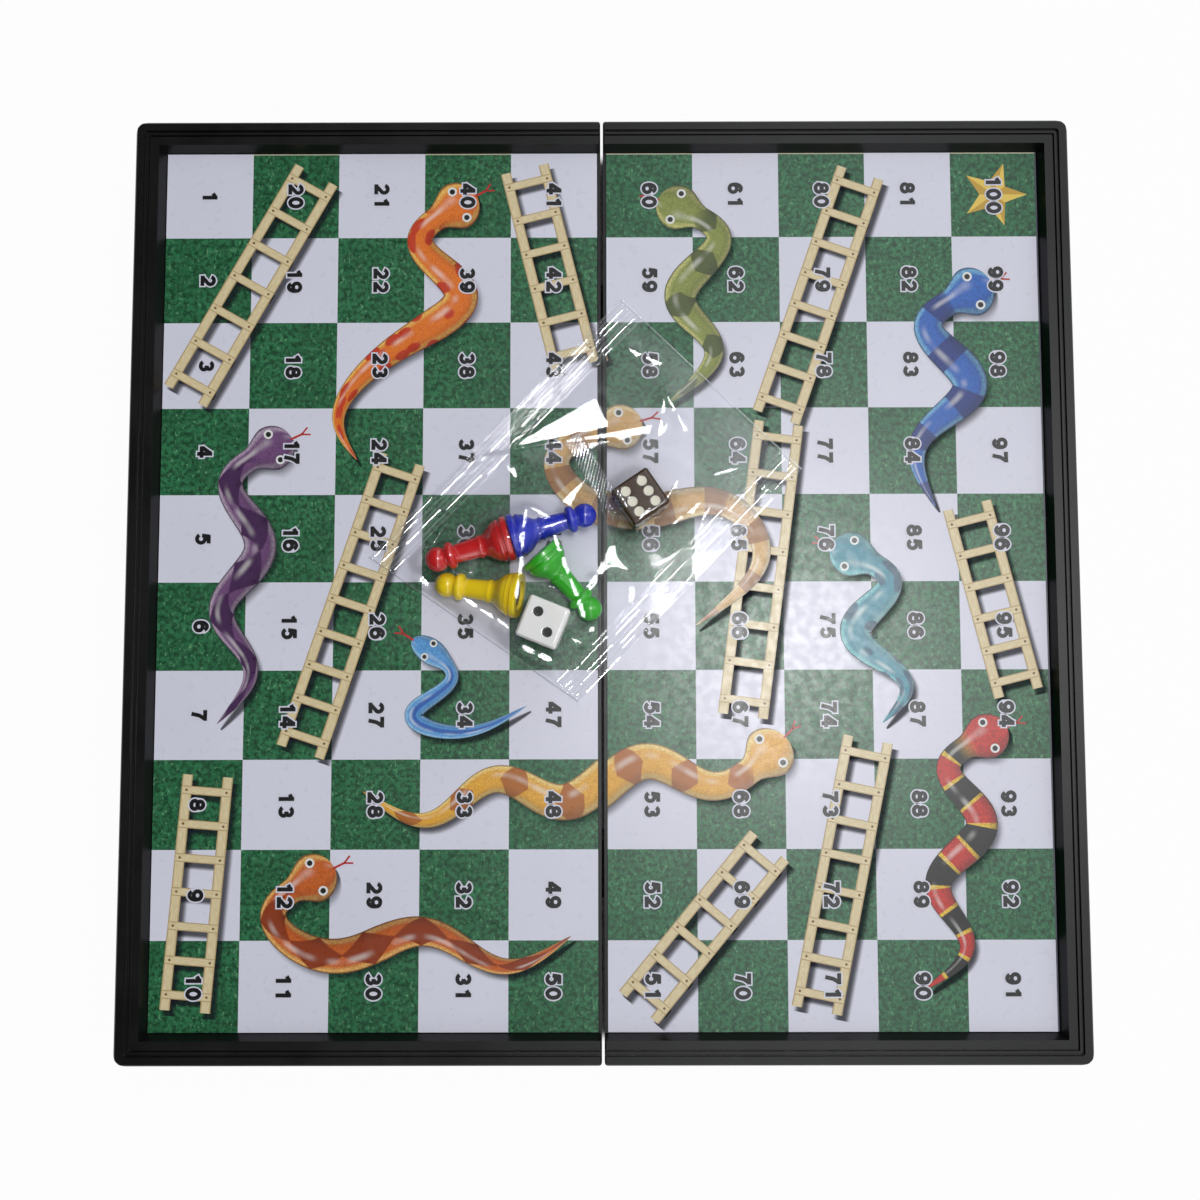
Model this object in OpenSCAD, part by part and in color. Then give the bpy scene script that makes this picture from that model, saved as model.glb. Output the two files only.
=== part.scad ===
// Folding travel board for snakes and ladders, opened flat, with its pieces in a clear sealed packet.
// Millimetres, +Z up, origin at the middle of the opened board on the surface that it stands on.
// The left half is drawn at negative X, and the right half is its mirror image.

/* [Board] */
// Width across both halves when opened
board_w = 250; // [220:1:300]
// Length along the seam
board_l = 248; // [220:1:300]
// Height from the lower edge to the top of the rim
case_h = 20; // [18:0.5:26]
// Gap between the halves at the seam
seam_gap = 0.7; // [0.4:0.1:1.2]
// Radius of the outer corners, seen from above
corner_r = 3.2; // [1:0.1:4]
// Radius of the corners at the seam, seen from above
seam_corner_r = 0.9; // [0.3:0.1:1.5]
// Small bevel along the top edges
edge_bevel = 0.4; // [0.1:0.05:0.8]

/* [Rim] */
// Flat outer band of the rim
outer_band = 2.3; // [1.5:0.1:4]
// Width of the outer groove
outer_groove = 0.8; // [0.4:0.1:1.5]
// Width of the ridge between the grooves
ridge_w = 0.5; // [0.3:0.1:1]
// Width of the inner groove
inner_groove = 0.5; // [0.3:0.1:1]
// Flat inner band of the rim
inner_band = 2.2; // [1.5:0.1:4]
// Depth of both grooves
groove_depth = 0.9; // [0.3:0.1:1.1]
// Run of the sloping recess wall, seen from above
recess_run = 1.2; // [0.4:0.1:2]
// Depth from the rim down to the play sheet
recess_depth = 3; // [1.5:0.1:4]
// Thickness of the rim's top over the hollow below it
rim_t = 2.2; // [1.8:0.1:3]

/* [Shell] */
// Thickness of the side walls
wall_t = 2; // [1.4:0.1:3]
// Thickness of the deck under the sheets
deck_t = 1.8; // [1.2:0.1:3]
// Width of the lip between the sheet and the seam
lip_w = 0.7; // [0.6:0.1:2]
// Thickness of the ribs under the deck
rib_t = 1.2; // [0.8:0.1:2]
// Height of the ribs under the deck
rib_h = 2; // [1:0.1:4]
// Number of ribs across each half
ribs_across = 3; // [1:1:6]
// Number of ribs along each half
ribs_along = 2; // [1:1:4]

/* [Sheets] */
// Thickness of the laminated play sheet
sheet_t = 0.5; // [0.3:0.1:1]
// Thickness of the steel plate under it
steel_t = 0.3; // [0.2:0.05:0.6]
// Clearance of both around their edges
sheet_clear = 0.2; // [0.1:0.05:0.5]

/* [Hinge] */
// Height of the pin axes over the lower edge
hinge_axis_z = 3; // [2.8:0.1:4]
// Half of the gap left between the lower edges when folded shut
shut_gap = 0.05; // [0.03:0.01:0.2]
// Distance of each hinge from the middle of the seam
hinge_y = 75; // [50:1:90]
// Radius of the hinge pins
pin_r = 1; // [0.8:0.05:1.2]
// Clearance of a pin in the lugs
lug_fit = 0.02; // [0.01:0.01:0.05]
// Clearance of a pin in the link
link_fit = 0.06; // [0.03:0.01:0.1]
// Length of a hinge link along the seam
link_l = 18; // [12:1:30]
// Radius of a link's eyes
link_eye_r = 1.9; // [1.7:0.1:2.1]
// Thickness of a link's web
link_web_t = 2.4; // [1.5:0.1:3]
// Length of each lug along the seam
lug_l = 6; // [4:0.5:10]
// Running gap around a link
link_gap = 0.4; // [0.2:0.1:0.8]
// How far a pin's ends lie inside its lugs
pin_inset = 0.3; // [0.1:0.1:1]

/* [Closure magnets] */
// Radius of a closure magnet
closure_r = 4; // [3:0.5:6]
// Thickness of a closure magnet
closure_t = 2; // [1:0.5:4]
// Depth of a closure magnet behind the lower edge
closure_recess = 0.3; // [0.1:0.1:1]
// Wall of the boss around a closure magnet
closure_wall = 1.4; // [1:0.1:2.5]
// Clearance around every magnet
magnet_fit = 0.1; // [0.05:0.05:0.2]
// Distance from the side wall to a closure boss
closure_in = 3; // [1:0.5:10]
// Distance of each closure magnet from the middle of the side
closure_y = 62; // [30:1:90]

/* [Pawns] */
// Height of a pawn
pawn_h = 22.9; // [20:0.1:30]
// Radius of the foot
foot_r = 6; // [5:0.1:8]
// Height of the foot
foot_h = 1.7; // [1.2:0.1:3]
// Radius of the ring over the foot
ring_r = 5.6; // [4.6:0.1:7]
// Height of the ring's top
ring_top = 3.2; // [2.6:0.1:4.5]
// Height where the flare ends
flare_top = 7.6; // [6:0.1:10]
// Radius of the stem where the flare ends
stem_r = 2.8; // [2.2:0.1:3.4]
// How far the small ring over the flare stands out
stem_ring_out = 0.3; // [0.1:0.1:0.6]
// Height of the small ring over the flare
stem_ring_h = 0.9; // [0.7:0.1:2]
// Radius of the stem under the collar
neck_r = 2.4; // [2:0.1:2.8]
// Radius of the collar
collar_r = 3.6; // [3:0.1:4.5]
// Height of the collar
collar_h = 2.5; // [1.5:0.1:3.5]
// Radius of the head
head_r = 3.2; // [2.8:0.1:4]
// Radius of the magnet in the foot
foot_magnet_r = 3.6; // [2.5:0.1:4]
// Thickness of the magnet in the foot
foot_magnet_t = 1.6; // [1:0.1:2]
// Depth of the magnet inside the foot
foot_magnet_depth = 0.9; // [0.2:0.1:1.2]

/* [Dice] */
// Length of a die's edge
die_s = 11; // [9:0.5:14]
// Bevel along a die's edges
die_bevel = 0.5; // [0.2:0.1:1]
// Depth of a spot
spot_depth = 0.4; // [0.2:0.1:0.8]
// How far the paint lies below the face
paint_inset = 0.1; // [0.05:0.05:0.3]
// Clearance around the paint
paint_fit = 0.02; // [0.01:0.01:0.05]
// Radius of the white die's spots
white_spot_r = 1.3; // [0.8:0.1:1.5]
// Distance of the white die's spots from the middle lines
white_spot_pitch = 2.05; // [1.8:0.05:2.6]
// Radius of the brown die's spots
brown_spot_r = 1.3; // [0.8:0.1:1.4]
// Distance of the brown die's spots from the middle lines
brown_spot_pitch = 2.5; // [2:0.05:2.8]
// Spacing of the spots in a row of three
six_pitch = 3.1; // [2.7:0.1:3.4]

/* [Packet] */
// Thickness of the packet's film
film_t = 0.3; // [0.2:0.05:0.5]
// Gap between the play sheet and the packet
film_gap = 0.3; // [0.1:0.05:0.5]
// Gap between the film and each piece that lies on it
piece_gap = 0.15; // [0.1:0.05:0.4]
// Width of the crimped seals along both long sides
crimp_w = 8; // [5:0.5:12]
// Room inside the film beside the pieces
side_room = 3.4; // [2.5:0.1:6]
// Room inside the film at the full end
end_room = 1.8; // [1.5:0.1:4]
// Empty length at the other end
free_end = 26; // [15:1:40]
// How far the film leans in towards its top
film_lean = 1.6; // [0.5:0.1:1.6]
// Headroom over the pieces
film_headroom = 1; // [0.5:0.1:3]
// Film beyond the hollow at each end
end_edge = 0.8; // [0.6:0.1:2]

/* [Lay of the pieces] */
// Place of the red and blue pawns' feet, across the board
pile_x = -23.7; // [-30:0.1:-20]
// Place of the red and blue pawns' feet, along the board
pile_y = 11; // [-20:0.1:30]
// Direction of the blue pawn
pair_turn = 16.6; // [10:0.1:20]
// Direction of the green pawn
green_turn = -48.2; // [-54:0.1:-44]
// Direction of the yellow pawn
yellow_turn = 170.8; // [165:0.1:180]
// Direction of the white die
white_turn = -22; // [-30:0.5:-15]
// Direction of the brown die
brown_turn = 34; // [0:0.5:60]
// Direction of the packet's long sides
packet_turn = 46; // [40:0.5:50]

/* [Hidden] */
$fn = 64;

// Cuts run this far past the faces that they open
over = 1;
// Steps in a quarter turn of a drawn arc
arc_steps = 8;

half_w = board_w / 2;
half_l = board_l / 2;
seam_x = -seam_gap / 2;
rim_w = outer_band + outer_groove + ridge_w + inner_groove + inner_band + recess_run;
sheet_top = case_h - recess_depth;
deck_top = sheet_top - sheet_t - steel_t;
deck_bottom = deck_top - deck_t;
recess_x = -half_w + rim_w;
recess_y = half_l - rim_w;
lip_x = seam_x - lip_w;
inner_seam_x = seam_x - wall_t;

axis_x = hinge_axis_z + shut_gap;
fold_r = axis_x + seam_x;
lug_sink = 0.15;
lug_r = fold_r - lug_sink;
notch_l = link_l + 2 * link_gap;
notch_x = axis_x + max(lug_r, link_eye_r) + link_gap;
notch_top = hinge_axis_z + max(lug_r, link_eye_r) + link_gap;
pin_l = notch_l + 2 * (lug_l - pin_inset);

closure_boss_r = closure_r + magnet_fit + closure_wall;
closure_x = half_w - wall_t - closure_in - closure_boss_r;

foot_round = 0.3;
foot_groove = 0.4;
head_z = pawn_h - head_r;
collar_z = head_z - head_r * 0.72 - collar_h / 2;
pawn_tilt = atan2(foot_r, head_z - foot_h)
    - asin(head_r / norm([foot_r, head_z - foot_h]));

film_top = sheet_top + film_gap + film_t;
piece_z = film_top + piece_gap;
pair_gap = 0.3;
pair_dir = [cos(pair_turn), sin(pair_turn)];
pair_side = [sin(pair_turn), -cos(pair_turn)];
pile_at = [pile_x, pile_y];

// Places of the pieces, counted from where the red and blue feet meet
green_at = pile_at + foot_r * (1.0 * pair_dir + 0.97 * pair_side);
yellow_at = pile_at + foot_r * (-0.34 * pair_dir + 2.54 * pair_side);
white_at = pile_at + 0.3 * foot_r * pair_dir + (2.54 * foot_r + 0.77 * die_s) * pair_side;
brown_at = pile_at + (pawn_h + 1.1 * die_s) * pair_dir;

// Packet frame: u along its long sides, v across them
packet_u = [cos(packet_turn), sin(packet_turn)];
packet_v = [sin(packet_turn), -cos(packet_turn)];
end_skew = 0.166;
head_reach = head_z * cos(pawn_tilt);
function heading(turn) = [cos(turn), sin(turn)];
function in_packet(p) = [(p - pile_at) * packet_u, (p - pile_at) * packet_v];
function column(rows, k) = [for (row = rows) row[k]];

// Round ends that the film has to go round: [u, v, radius]
die_reach = die_s * sqrt(0.5);
round_ends = [
    concat(in_packet(pile_at - head_z * pair_dir), head_r),
    concat(in_packet(pile_at + head_z * pair_dir), head_r),
    concat(in_packet(green_at + head_reach * heading(green_turn)), head_r),
    concat(in_packet(yellow_at + head_reach * heading(yellow_turn)), head_r),
    concat(in_packet(pile_at), foot_r),
    concat(in_packet(green_at), foot_r),
    concat(in_packet(yellow_at), foot_r),
    concat(in_packet(white_at), die_reach),
    concat(in_packet(brown_at), die_reach)
];
room_v0 = min([for (e = round_ends) e[1] - e[2]]) - side_room;
room_v1 = max([for (e = round_ends) e[1] + e[2]]) + side_room;
room_s0 = min([for (e = round_ends) e[0] - end_skew * e[1] - e[2] * norm([1, end_skew])]) - end_room;
pieces_u1 = max([for (e = round_ends) e[0] + e[2]]) + end_room;
room_u1 = pieces_u1 + free_end;
packet_h = piece_gap + max(2 * foot_r, die_s) + film_headroom;

// Points of an arc, from angle a0 to a1
function arc(centre, r, a0, a1, steps) =
    [for (i = [0 : steps]) centre + r * [cos(a0 + (a1 - a0) * i / steps), sin(a0 + (a1 - a0) * i / steps)]];

// Outline of the left half in plan, drawn in by inset, up to x1 at the seam
function half_outline(inset, x1, r_side, r_seam) =
    let (x0 = -half_w + inset, y1 = half_l - inset)
    concat(
        arc([x0 + r_side, -y1 + r_side], r_side, 180, 270, arc_steps),
        arc([x1 - r_seam, -y1 + r_seam], r_seam, 270, 360, arc_steps),
        arc([x1 - r_seam, y1 - r_seam], r_seam, 0, 90, arc_steps),
        arc([x0 + r_side, y1 - r_side], r_side, 90, 180, arc_steps)
    );

// Radius of an outline drawn in from the outer corners
function inset_r(inset) = max(corner_r - inset, 0.3);

// A four-sided hollow of the packet in plan, drawn in by inset, which ends at u1
function packet_plan(inset, edge_v, edge_u, u1) =
    let (v0 = room_v0 - edge_v + inset, v1 = room_v1 + edge_v - inset, s0 = room_s0 - edge_u + inset)
    [
        [s0 + end_skew * v0, v0],
        [u1 + edge_u - inset, v0],
        [u1 + edge_u - inset, v1],
        [s0 + end_skew * v1, v1]
    ];

module along_y(length) {
    rotate([90, 0, 0]) linear_extrude(length, center = true) children();
}

module along_x(length) {
    rotate([90, 0, 90]) linear_extrude(length, center = true) children();
}

module both_hinges() {
    for (side = [-1, 1]) translate([0, side * hinge_y, 0]) children();
}

// Block of the half case with bevelled top edges and a lower seam edge rounded about the pin axis
module case_block() {
    intersection() {
        linear_extrude(case_h) polygon(half_outline(0, seam_x, corner_r, seam_corner_r));
        along_y(board_l + 2 * over) polygon(concat(
            [
                [-axis_x, -over],
                [-half_w, -over],
                [-half_w, case_h - edge_bevel],
                [-half_w + edge_bevel, case_h],
                [seam_x - edge_bevel, case_h],
                [seam_x, case_h - edge_bevel]
            ],
            arc([-axis_x, hinge_axis_z], fold_r, 0, -90, arc_steps)
        ));
        along_x(2 * board_w) polygon([
            [-half_l, -over],
            [-half_l, case_h - edge_bevel],
            [-half_l + edge_bevel, case_h],
            [half_l - edge_bevel, case_h],
            [half_l, case_h - edge_bevel],
            [half_l, -over]
        ]);
    }
}

// Ring cut along the three rim sides, open at the seam
module rim_ring(inset, width) {
    linear_extrude(groove_depth + over) difference() {
        polygon(half_outline(inset, over, inset_r(inset), 0.1));
        polygon(half_outline(inset + width, 2 * over, inset_r(inset + width), 0.1));
    }
}

module rim_grooves() {
    translate([0, 0, case_h - groove_depth]) {
        rim_ring(outer_band, outer_groove);
        rim_ring(outer_band + outer_groove + ridge_w, inner_groove);
    }
}

// Sloping recess over the sheet, and the straight pocket that the sheet and plate lie in
module sheet_recess() {
    slope_top = case_h + over;
    slope_run = recess_run * (recess_depth + over) / recess_depth;
    intersection() {
        along_y(board_l) polygon([
            [recess_x, sheet_top],
            [over, sheet_top],
            [over, slope_top],
            [recess_x - slope_run, slope_top]
        ]);
        along_x(2 * board_w) polygon([
            [-recess_y, sheet_top],
            [recess_y, sheet_top],
            [recess_y + slope_run, slope_top],
            [-recess_y - slope_run, slope_top]
        ]);
    }
    translate([recess_x, -recess_y, deck_top])
        cube([lip_x - recess_x, 2 * recess_y, sheet_top - deck_top + over / 2]);
}

// Storage hollow under the deck, and the channel inside the raised rim
module underside() {
    translate([0, 0, -over]) linear_extrude(deck_bottom + over)
        polygon(half_outline(wall_t, inner_seam_x, inset_r(wall_t), seam_corner_r));
    channel_end = rim_w - wall_t;
    translate([0, 0, deck_bottom - over]) linear_extrude(case_h - rim_t - deck_bottom + over) difference() {
        polygon(half_outline(wall_t, inner_seam_x, inset_r(wall_t), seam_corner_r));
        polygon(half_outline(channel_end, over, 0.3, 0.1));
    }
}

module deck_ribs() {
    rib_sink = deck_t / 2;
    rib_z = deck_bottom - rib_h;
    inside_w = half_w - wall_t + inner_seam_x;
    inside_l = board_l - 2 * wall_t;
    for (i = [1 : ribs_along])
        translate([inner_seam_x - inside_w * i / (ribs_along + 1) - rib_t / 2, -inside_l / 2 - wall_t / 2, rib_z])
            cube([rib_t, inside_l + wall_t, rib_h + rib_sink]);
    for (j = [1 : ribs_across])
        translate([-half_w + wall_t / 2, -inside_l / 2 + inside_l * j / (ribs_across + 1) - rib_t / 2, rib_z])
            cube([inside_w + wall_t, rib_t, rib_h + rib_sink]);
}

module hinge_lugs() {
    both_hinges() along_y(notch_l + 2 * lug_l) polygon(concat(
        arc([-axis_x, hinge_axis_z], lug_r, 0, -180, 2 * arc_steps),
        [
            [-axis_x - lug_r, hinge_axis_z + lug_r],
            [-axis_x + lug_r, hinge_axis_z + lug_r]
        ]
    ));
}

module hinge_cuts() {
    both_hinges() {
        translate([-notch_x, -notch_l / 2, -over]) cube([notch_x + over, notch_l, notch_top + over]);
        translate([-axis_x, 0, hinge_axis_z]) rotate([90, 0, 0])
            cylinder(r = pin_r + lug_fit, h = notch_l + 2 * lug_l + over, center = true);
    }
}

module at_closures() {
    for (side = [-1, 1]) translate([-closure_x, side * closure_y, 0]) children();
}

module half_case() {
    difference() {
        union() {
            difference() {
                case_block();
                underside();
                sheet_recess();
                rim_grooves();
            }
            deck_ribs();
            hinge_lugs();
            at_closures() cylinder(r = closure_boss_r, h = deck_bottom + deck_t / 2);
        }
        hinge_cuts();
        at_closures() translate([0, 0, -over])
            cylinder(r = closure_r + magnet_fit, h = closure_recess + closure_t + over);
    }
}

// Flat piece in the pocket of the half case
module pocket_plate(z, t) {
    translate([recess_x + sheet_clear, -recess_y + sheet_clear, z])
        cube([lip_x - recess_x - 2 * sheet_clear, 2 * (recess_y - sheet_clear), t]);
}

module half_steel_plate() {
    pocket_plate(deck_top, steel_t);
}

module half_play_sheet() {
    pocket_plate(deck_top + steel_t, sheet_t);
}

module half_hinge_pins() {
    both_hinges() translate([-axis_x, 0, hinge_axis_z]) rotate([90, 0, 0])
        cylinder(r = pin_r, h = pin_l, center = true);
}

module half_closure_magnets() {
    at_closures() translate([0, 0, closure_recess]) cylinder(r = closure_r, h = closure_t);
}

// Link with an eye round a pin of each half
module hinge_link(side) {
    translate([0, side * hinge_y, hinge_axis_z]) rotate([90, 0, 0]) difference() {
        union() {
            for (end = [-1, 1]) translate([end * axis_x, 0, 0]) cylinder(r = link_eye_r, h = link_l, center = true);
            cube([2 * axis_x, link_web_t, link_l], center = true);
        }
        for (end = [-1, 1]) translate([end * axis_x, 0, 0])
            cylinder(r = pin_r + link_fit, h = link_l + 2 * over, center = true);
    }
}

// Half section of a pawn up to its neck, from the foot
function pawn_section() =
    let (flare_r = ring_r - foot_round, groove_top = foot_h + (ring_top - foot_h) / 4, bead = collar_h / 2)
    concat(
        [
            [0, 0],
            [foot_r - foot_round, 0],
            [foot_r, foot_round],
            [foot_r, foot_h - foot_round],
            [foot_r - foot_round, foot_h],
            [ring_r - foot_groove, foot_h],
            [ring_r - foot_groove, groove_top],
            [ring_r, groove_top + foot_round / 2],
            [ring_r, ring_top - foot_round]
        ],
        [for (i = [0 : arc_steps]) [
            stem_r + (flare_r - stem_r) * (1 + cos(180 * i / arc_steps)) / 2,
            ring_top + (flare_top - ring_top) * i / arc_steps
        ]],
        [
            [stem_r + stem_ring_out, flare_top + stem_ring_out / 2],
            [stem_r + stem_ring_out, flare_top + stem_ring_h - stem_ring_out / 2],
            [stem_r, flare_top + stem_ring_h],
            [neck_r, collar_z - bead]
        ],
        arc([collar_r - bead, collar_z], bead, -75, 75, arc_steps),
        [[neck_r, collar_z + bead], [neck_r, head_z], [0, head_z]]
    );

module pawn() {
    difference() {
        union() {
            rotate_extrude() polygon(pawn_section());
            translate([0, 0, head_z]) sphere(r = head_r);
        }
        translate([0, 0, -over])
            cylinder(r = foot_magnet_r + magnet_fit, h = foot_magnet_depth + foot_magnet_t + over);
    }
}

module pawn_magnet() {
    translate([0, 0, foot_magnet_depth]) cylinder(r = foot_magnet_r, h = foot_magnet_t);
}

// Pawn lying on its foot and head, with the middle of its foot at a place
module lay_down(at, turn) {
    base_z = foot_r * cos(pawn_tilt) + foot_h * sin(pawn_tilt);
    translate([at[0], at[1], piece_z + base_z]) rotate([0, 90 + pawn_tilt, turn]) children();
}

// Pawn lying level, held foot to foot with another by their magnets
module lay_level(turn) {
    at = pile_at + heading(turn) * pair_gap / 2;
    translate([at[0], at[1], piece_z + foot_r]) rotate([0, 90, turn]) children();
}

module lay_red() {
    lay_level(pair_turn + 180) children();
}

module lay_blue() {
    lay_level(pair_turn) children();
}

module lay_green() {
    lay_down(green_at, green_turn) children();
}

module lay_yellow() {
    lay_down(yellow_at, yellow_turn) children();
}

// Places of the spots on a face, in steps from its middle lines
function spots(n) =
    n == 1 ? [[0, 0]] :
    n == 2 ? [[-1, 1], [1, -1]] :
    n == 3 ? concat(spots(1), spots(2)) :
    n == 4 ? concat(spots(2), [[-1, -1], [1, 1]]) :
    n == 5 ? concat(spots(1), spots(4)) :
    [for (x = [-1, 1]) for (y = [-1, 0, 1]) [x, y]];

// Turns that bring the top face to each face, in the order of the face values
face_turns = [[0, 0, 0], [180, 0, 0], [0, 90, 0], [0, -90, 0], [-90, 0, 0], [90, 0, 0]];
white_faces = [2, 5, 3, 4, 1, 6];
brown_faces = [6, 1, 2, 5, 3, 4];

// Cylinders at every spot of a die, from depth to top, counted from the faces
module at_spots(faces, pitch, r, depth, top) {
    for (f = [0 : len(faces) - 1])
        rotate(face_turns[f]) for (p = spots(faces[f]))
            translate([p[0] * pitch, p[1] * (faces[f] == 6 ? six_pitch : pitch), die_s / 2 - depth])
                cylinder(r = r, h = depth + top);
}

module die_block() {
    bevel_s = sqrt(2) * (die_s - die_bevel);
    intersection() {
        cube(die_s, center = true);
        intersection_for (turn = [[45, 0, 0], [0, 45, 0], [0, 0, 45]])
            rotate(turn) cube([
                turn[0] > 0 ? 2 * die_s : bevel_s,
                turn[1] > 0 ? 2 * die_s : bevel_s,
                turn[2] > 0 ? 2 * die_s : bevel_s
            ], center = true);
    }
}

module die(faces, pitch, r) {
    difference() {
        die_block();
        at_spots(faces, pitch, r + paint_fit, spot_depth, over);
    }
}

module die_paint(faces, pitch, r) {
    at_spots(faces, pitch, r, spot_depth, -paint_inset);
}

module lay_die(at, turn) {
    translate([at[0], at[1], piece_z + die_s / 2]) rotate([0, 0, turn]) children();
}

module in_packet_place() {
    translate([pile_x, pile_y, film_top]) rotate([0, 0, packet_turn]) mirror([0, 1, 0]) children();
}

// Block between the film's foot and its top, drawn in by inset
module film_block(inset, height) {
    slice = 0.02;
    hull() {
        linear_extrude(slice) polygon(packet_plan(inset, 0, 0, room_u1));
        translate([0, 0, height - slice]) linear_extrude(slice)
            polygon(packet_plan(inset + film_lean, 0, 0, pieces_u1 + film_lean));
    }
}

module left_case() {
    color("#17181a") half_case();
}

module right_case() {
    color("#17181a") mirror([1, 0, 0]) half_case();
}

module left_steel_plate() {
    color("#8d9296") half_steel_plate();
}

module right_steel_plate() {
    color("#8d9296") mirror([1, 0, 0]) half_steel_plate();
}

module left_play_sheet() {
    color("#4f8a63") half_play_sheet();
}

module right_play_sheet() {
    color("#4f8a63") mirror([1, 0, 0]) half_play_sheet();
}

module left_hinge_pins() {
    color("#b9bcc0") half_hinge_pins();
}

module right_hinge_pins() {
    color("#b9bcc0") mirror([1, 0, 0]) half_hinge_pins();
}

module top_hinge_link() {
    color("#202124") hinge_link(1);
}

module bottom_hinge_link() {
    color("#202124") hinge_link(-1);
}

module left_closure_magnets() {
    color("#3a3a3d") half_closure_magnets();
}

module right_closure_magnets() {
    color("#3a3a3d") mirror([1, 0, 0]) half_closure_magnets();
}

module red_pawn() {
    color("#b8151b") lay_red() pawn();
}

module blue_pawn() {
    color("#1b2fae") lay_blue() pawn();
}

module green_pawn() {
    color("#1f9a1c") lay_green() pawn();
}

module yellow_pawn() {
    color("#dcb60f") lay_yellow() pawn();
}

module red_pawn_magnet() {
    color("#3a3a3d") lay_red() pawn_magnet();
}

module blue_pawn_magnet() {
    color("#3a3a3d") lay_blue() pawn_magnet();
}

module green_pawn_magnet() {
    color("#3a3a3d") lay_green() pawn_magnet();
}

module yellow_pawn_magnet() {
    color("#3a3a3d") lay_yellow() pawn_magnet();
}

module white_die() {
    color("#e6e4e0") lay_die(white_at, white_turn) die(white_faces, white_spot_pitch, white_spot_r);
}

module white_die_pips() {
    color("#111111") lay_die(white_at, white_turn) die_paint(white_faces, white_spot_pitch, white_spot_r);
}

module brown_die() {
    color("#3b2416") lay_die(brown_at, brown_turn) die(brown_faces, brown_spot_pitch, brown_spot_r);
}

module brown_die_pips() {
    color("#f2efe8") lay_die(brown_at, brown_turn) die_paint(brown_faces, brown_spot_pitch, brown_spot_r);
}

module packet_back_film() {
    color("#dfe6ea", 0.35) in_packet_place() translate([0, 0, -film_t])
        linear_extrude(film_t) polygon(packet_plan(0, crimp_w, end_edge, room_u1));
}

module packet_front_film() {
    color("#dfe6ea", 0.35) in_packet_place() {
        linear_extrude(film_t) difference() {
            polygon(packet_plan(0, crimp_w, end_edge, room_u1));
            polygon(packet_plan(film_t, 0, 0, room_u1));
        }
        difference() {
            film_block(0, packet_h);
            translate([0, 0, -film_t]) film_block(film_t, packet_h);
        }
    }
}

left_case();
right_case();
left_steel_plate();
right_steel_plate();
left_play_sheet();
right_play_sheet();
left_hinge_pins();
right_hinge_pins();
top_hinge_link();
bottom_hinge_link();
left_closure_magnets();
right_closure_magnets();
red_pawn();
blue_pawn();
green_pawn();
yellow_pawn();
red_pawn_magnet();
blue_pawn_magnet();
green_pawn_magnet();
yellow_pawn_magnet();
white_die();
white_die_pips();
brown_die();
brown_die_pips();
packet_back_film();
packet_front_film();
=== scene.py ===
import math
import random
from collections import namedtuple

import bmesh
import bpy
import numpy as np
from mathutils import Matrix, Vector
from mathutils.bvhtree import BVHTree
from mathutils.geometry import delaunay_2d_cdt


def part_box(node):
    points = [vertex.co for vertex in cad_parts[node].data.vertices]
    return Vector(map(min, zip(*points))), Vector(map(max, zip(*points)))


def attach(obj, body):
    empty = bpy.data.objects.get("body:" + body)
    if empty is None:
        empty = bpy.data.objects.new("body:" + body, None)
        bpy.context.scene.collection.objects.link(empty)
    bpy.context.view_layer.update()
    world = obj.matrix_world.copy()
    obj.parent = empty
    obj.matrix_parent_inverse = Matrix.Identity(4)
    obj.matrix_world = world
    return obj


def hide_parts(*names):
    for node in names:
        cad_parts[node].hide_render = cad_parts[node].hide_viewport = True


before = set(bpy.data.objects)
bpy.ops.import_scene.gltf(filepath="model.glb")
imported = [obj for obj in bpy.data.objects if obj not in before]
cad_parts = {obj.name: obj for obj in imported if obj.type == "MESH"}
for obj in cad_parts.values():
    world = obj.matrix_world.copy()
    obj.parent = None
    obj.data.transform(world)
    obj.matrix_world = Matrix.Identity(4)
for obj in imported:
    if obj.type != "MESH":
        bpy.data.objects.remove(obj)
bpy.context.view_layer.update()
MM = 0.001

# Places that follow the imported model
LEFT_LOW, LEFT_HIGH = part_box("left_play_sheet")
RIGHT_LOW, RIGHT_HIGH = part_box("right_play_sheet")
SHEET_TOP = LEFT_HIGH.z
COLUMNS_PER_HALF = 5
ROWS = 10
CELL_W = (LEFT_HIGH.x - LEFT_LOW.x) / COLUMNS_PER_HALF
CELL_H = (LEFT_HIGH.y - LEFT_LOW.y) / ROWS
HALVES = {"left": LEFT_HIGH.x, "right": RIGHT_LOW.x}

# Heights of the printed layers above the sheet, and the thickness of one layer of ink
INK = 0.006 * MM
LAYER_STEP = 0.008 * MM
LAYERS = ["shadow", "rung_shadow", "ladder", "rung", "nail", "snake", "mark", "glint", "outline", "number"]
LAYER = {name: SHEET_TOP + LAYER_STEP * (i + 1) for i, name in enumerate(LAYERS)}

# Camera, from the case's corners in the photograph
CAMERA_AT = Vector((-0.04, -30.39, 358.71)) * MM
CAMERA_TURN = (0.0747, 0.0019, -0.0019)
LENS_MM = 39
SENSOR_MM = 36


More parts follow.
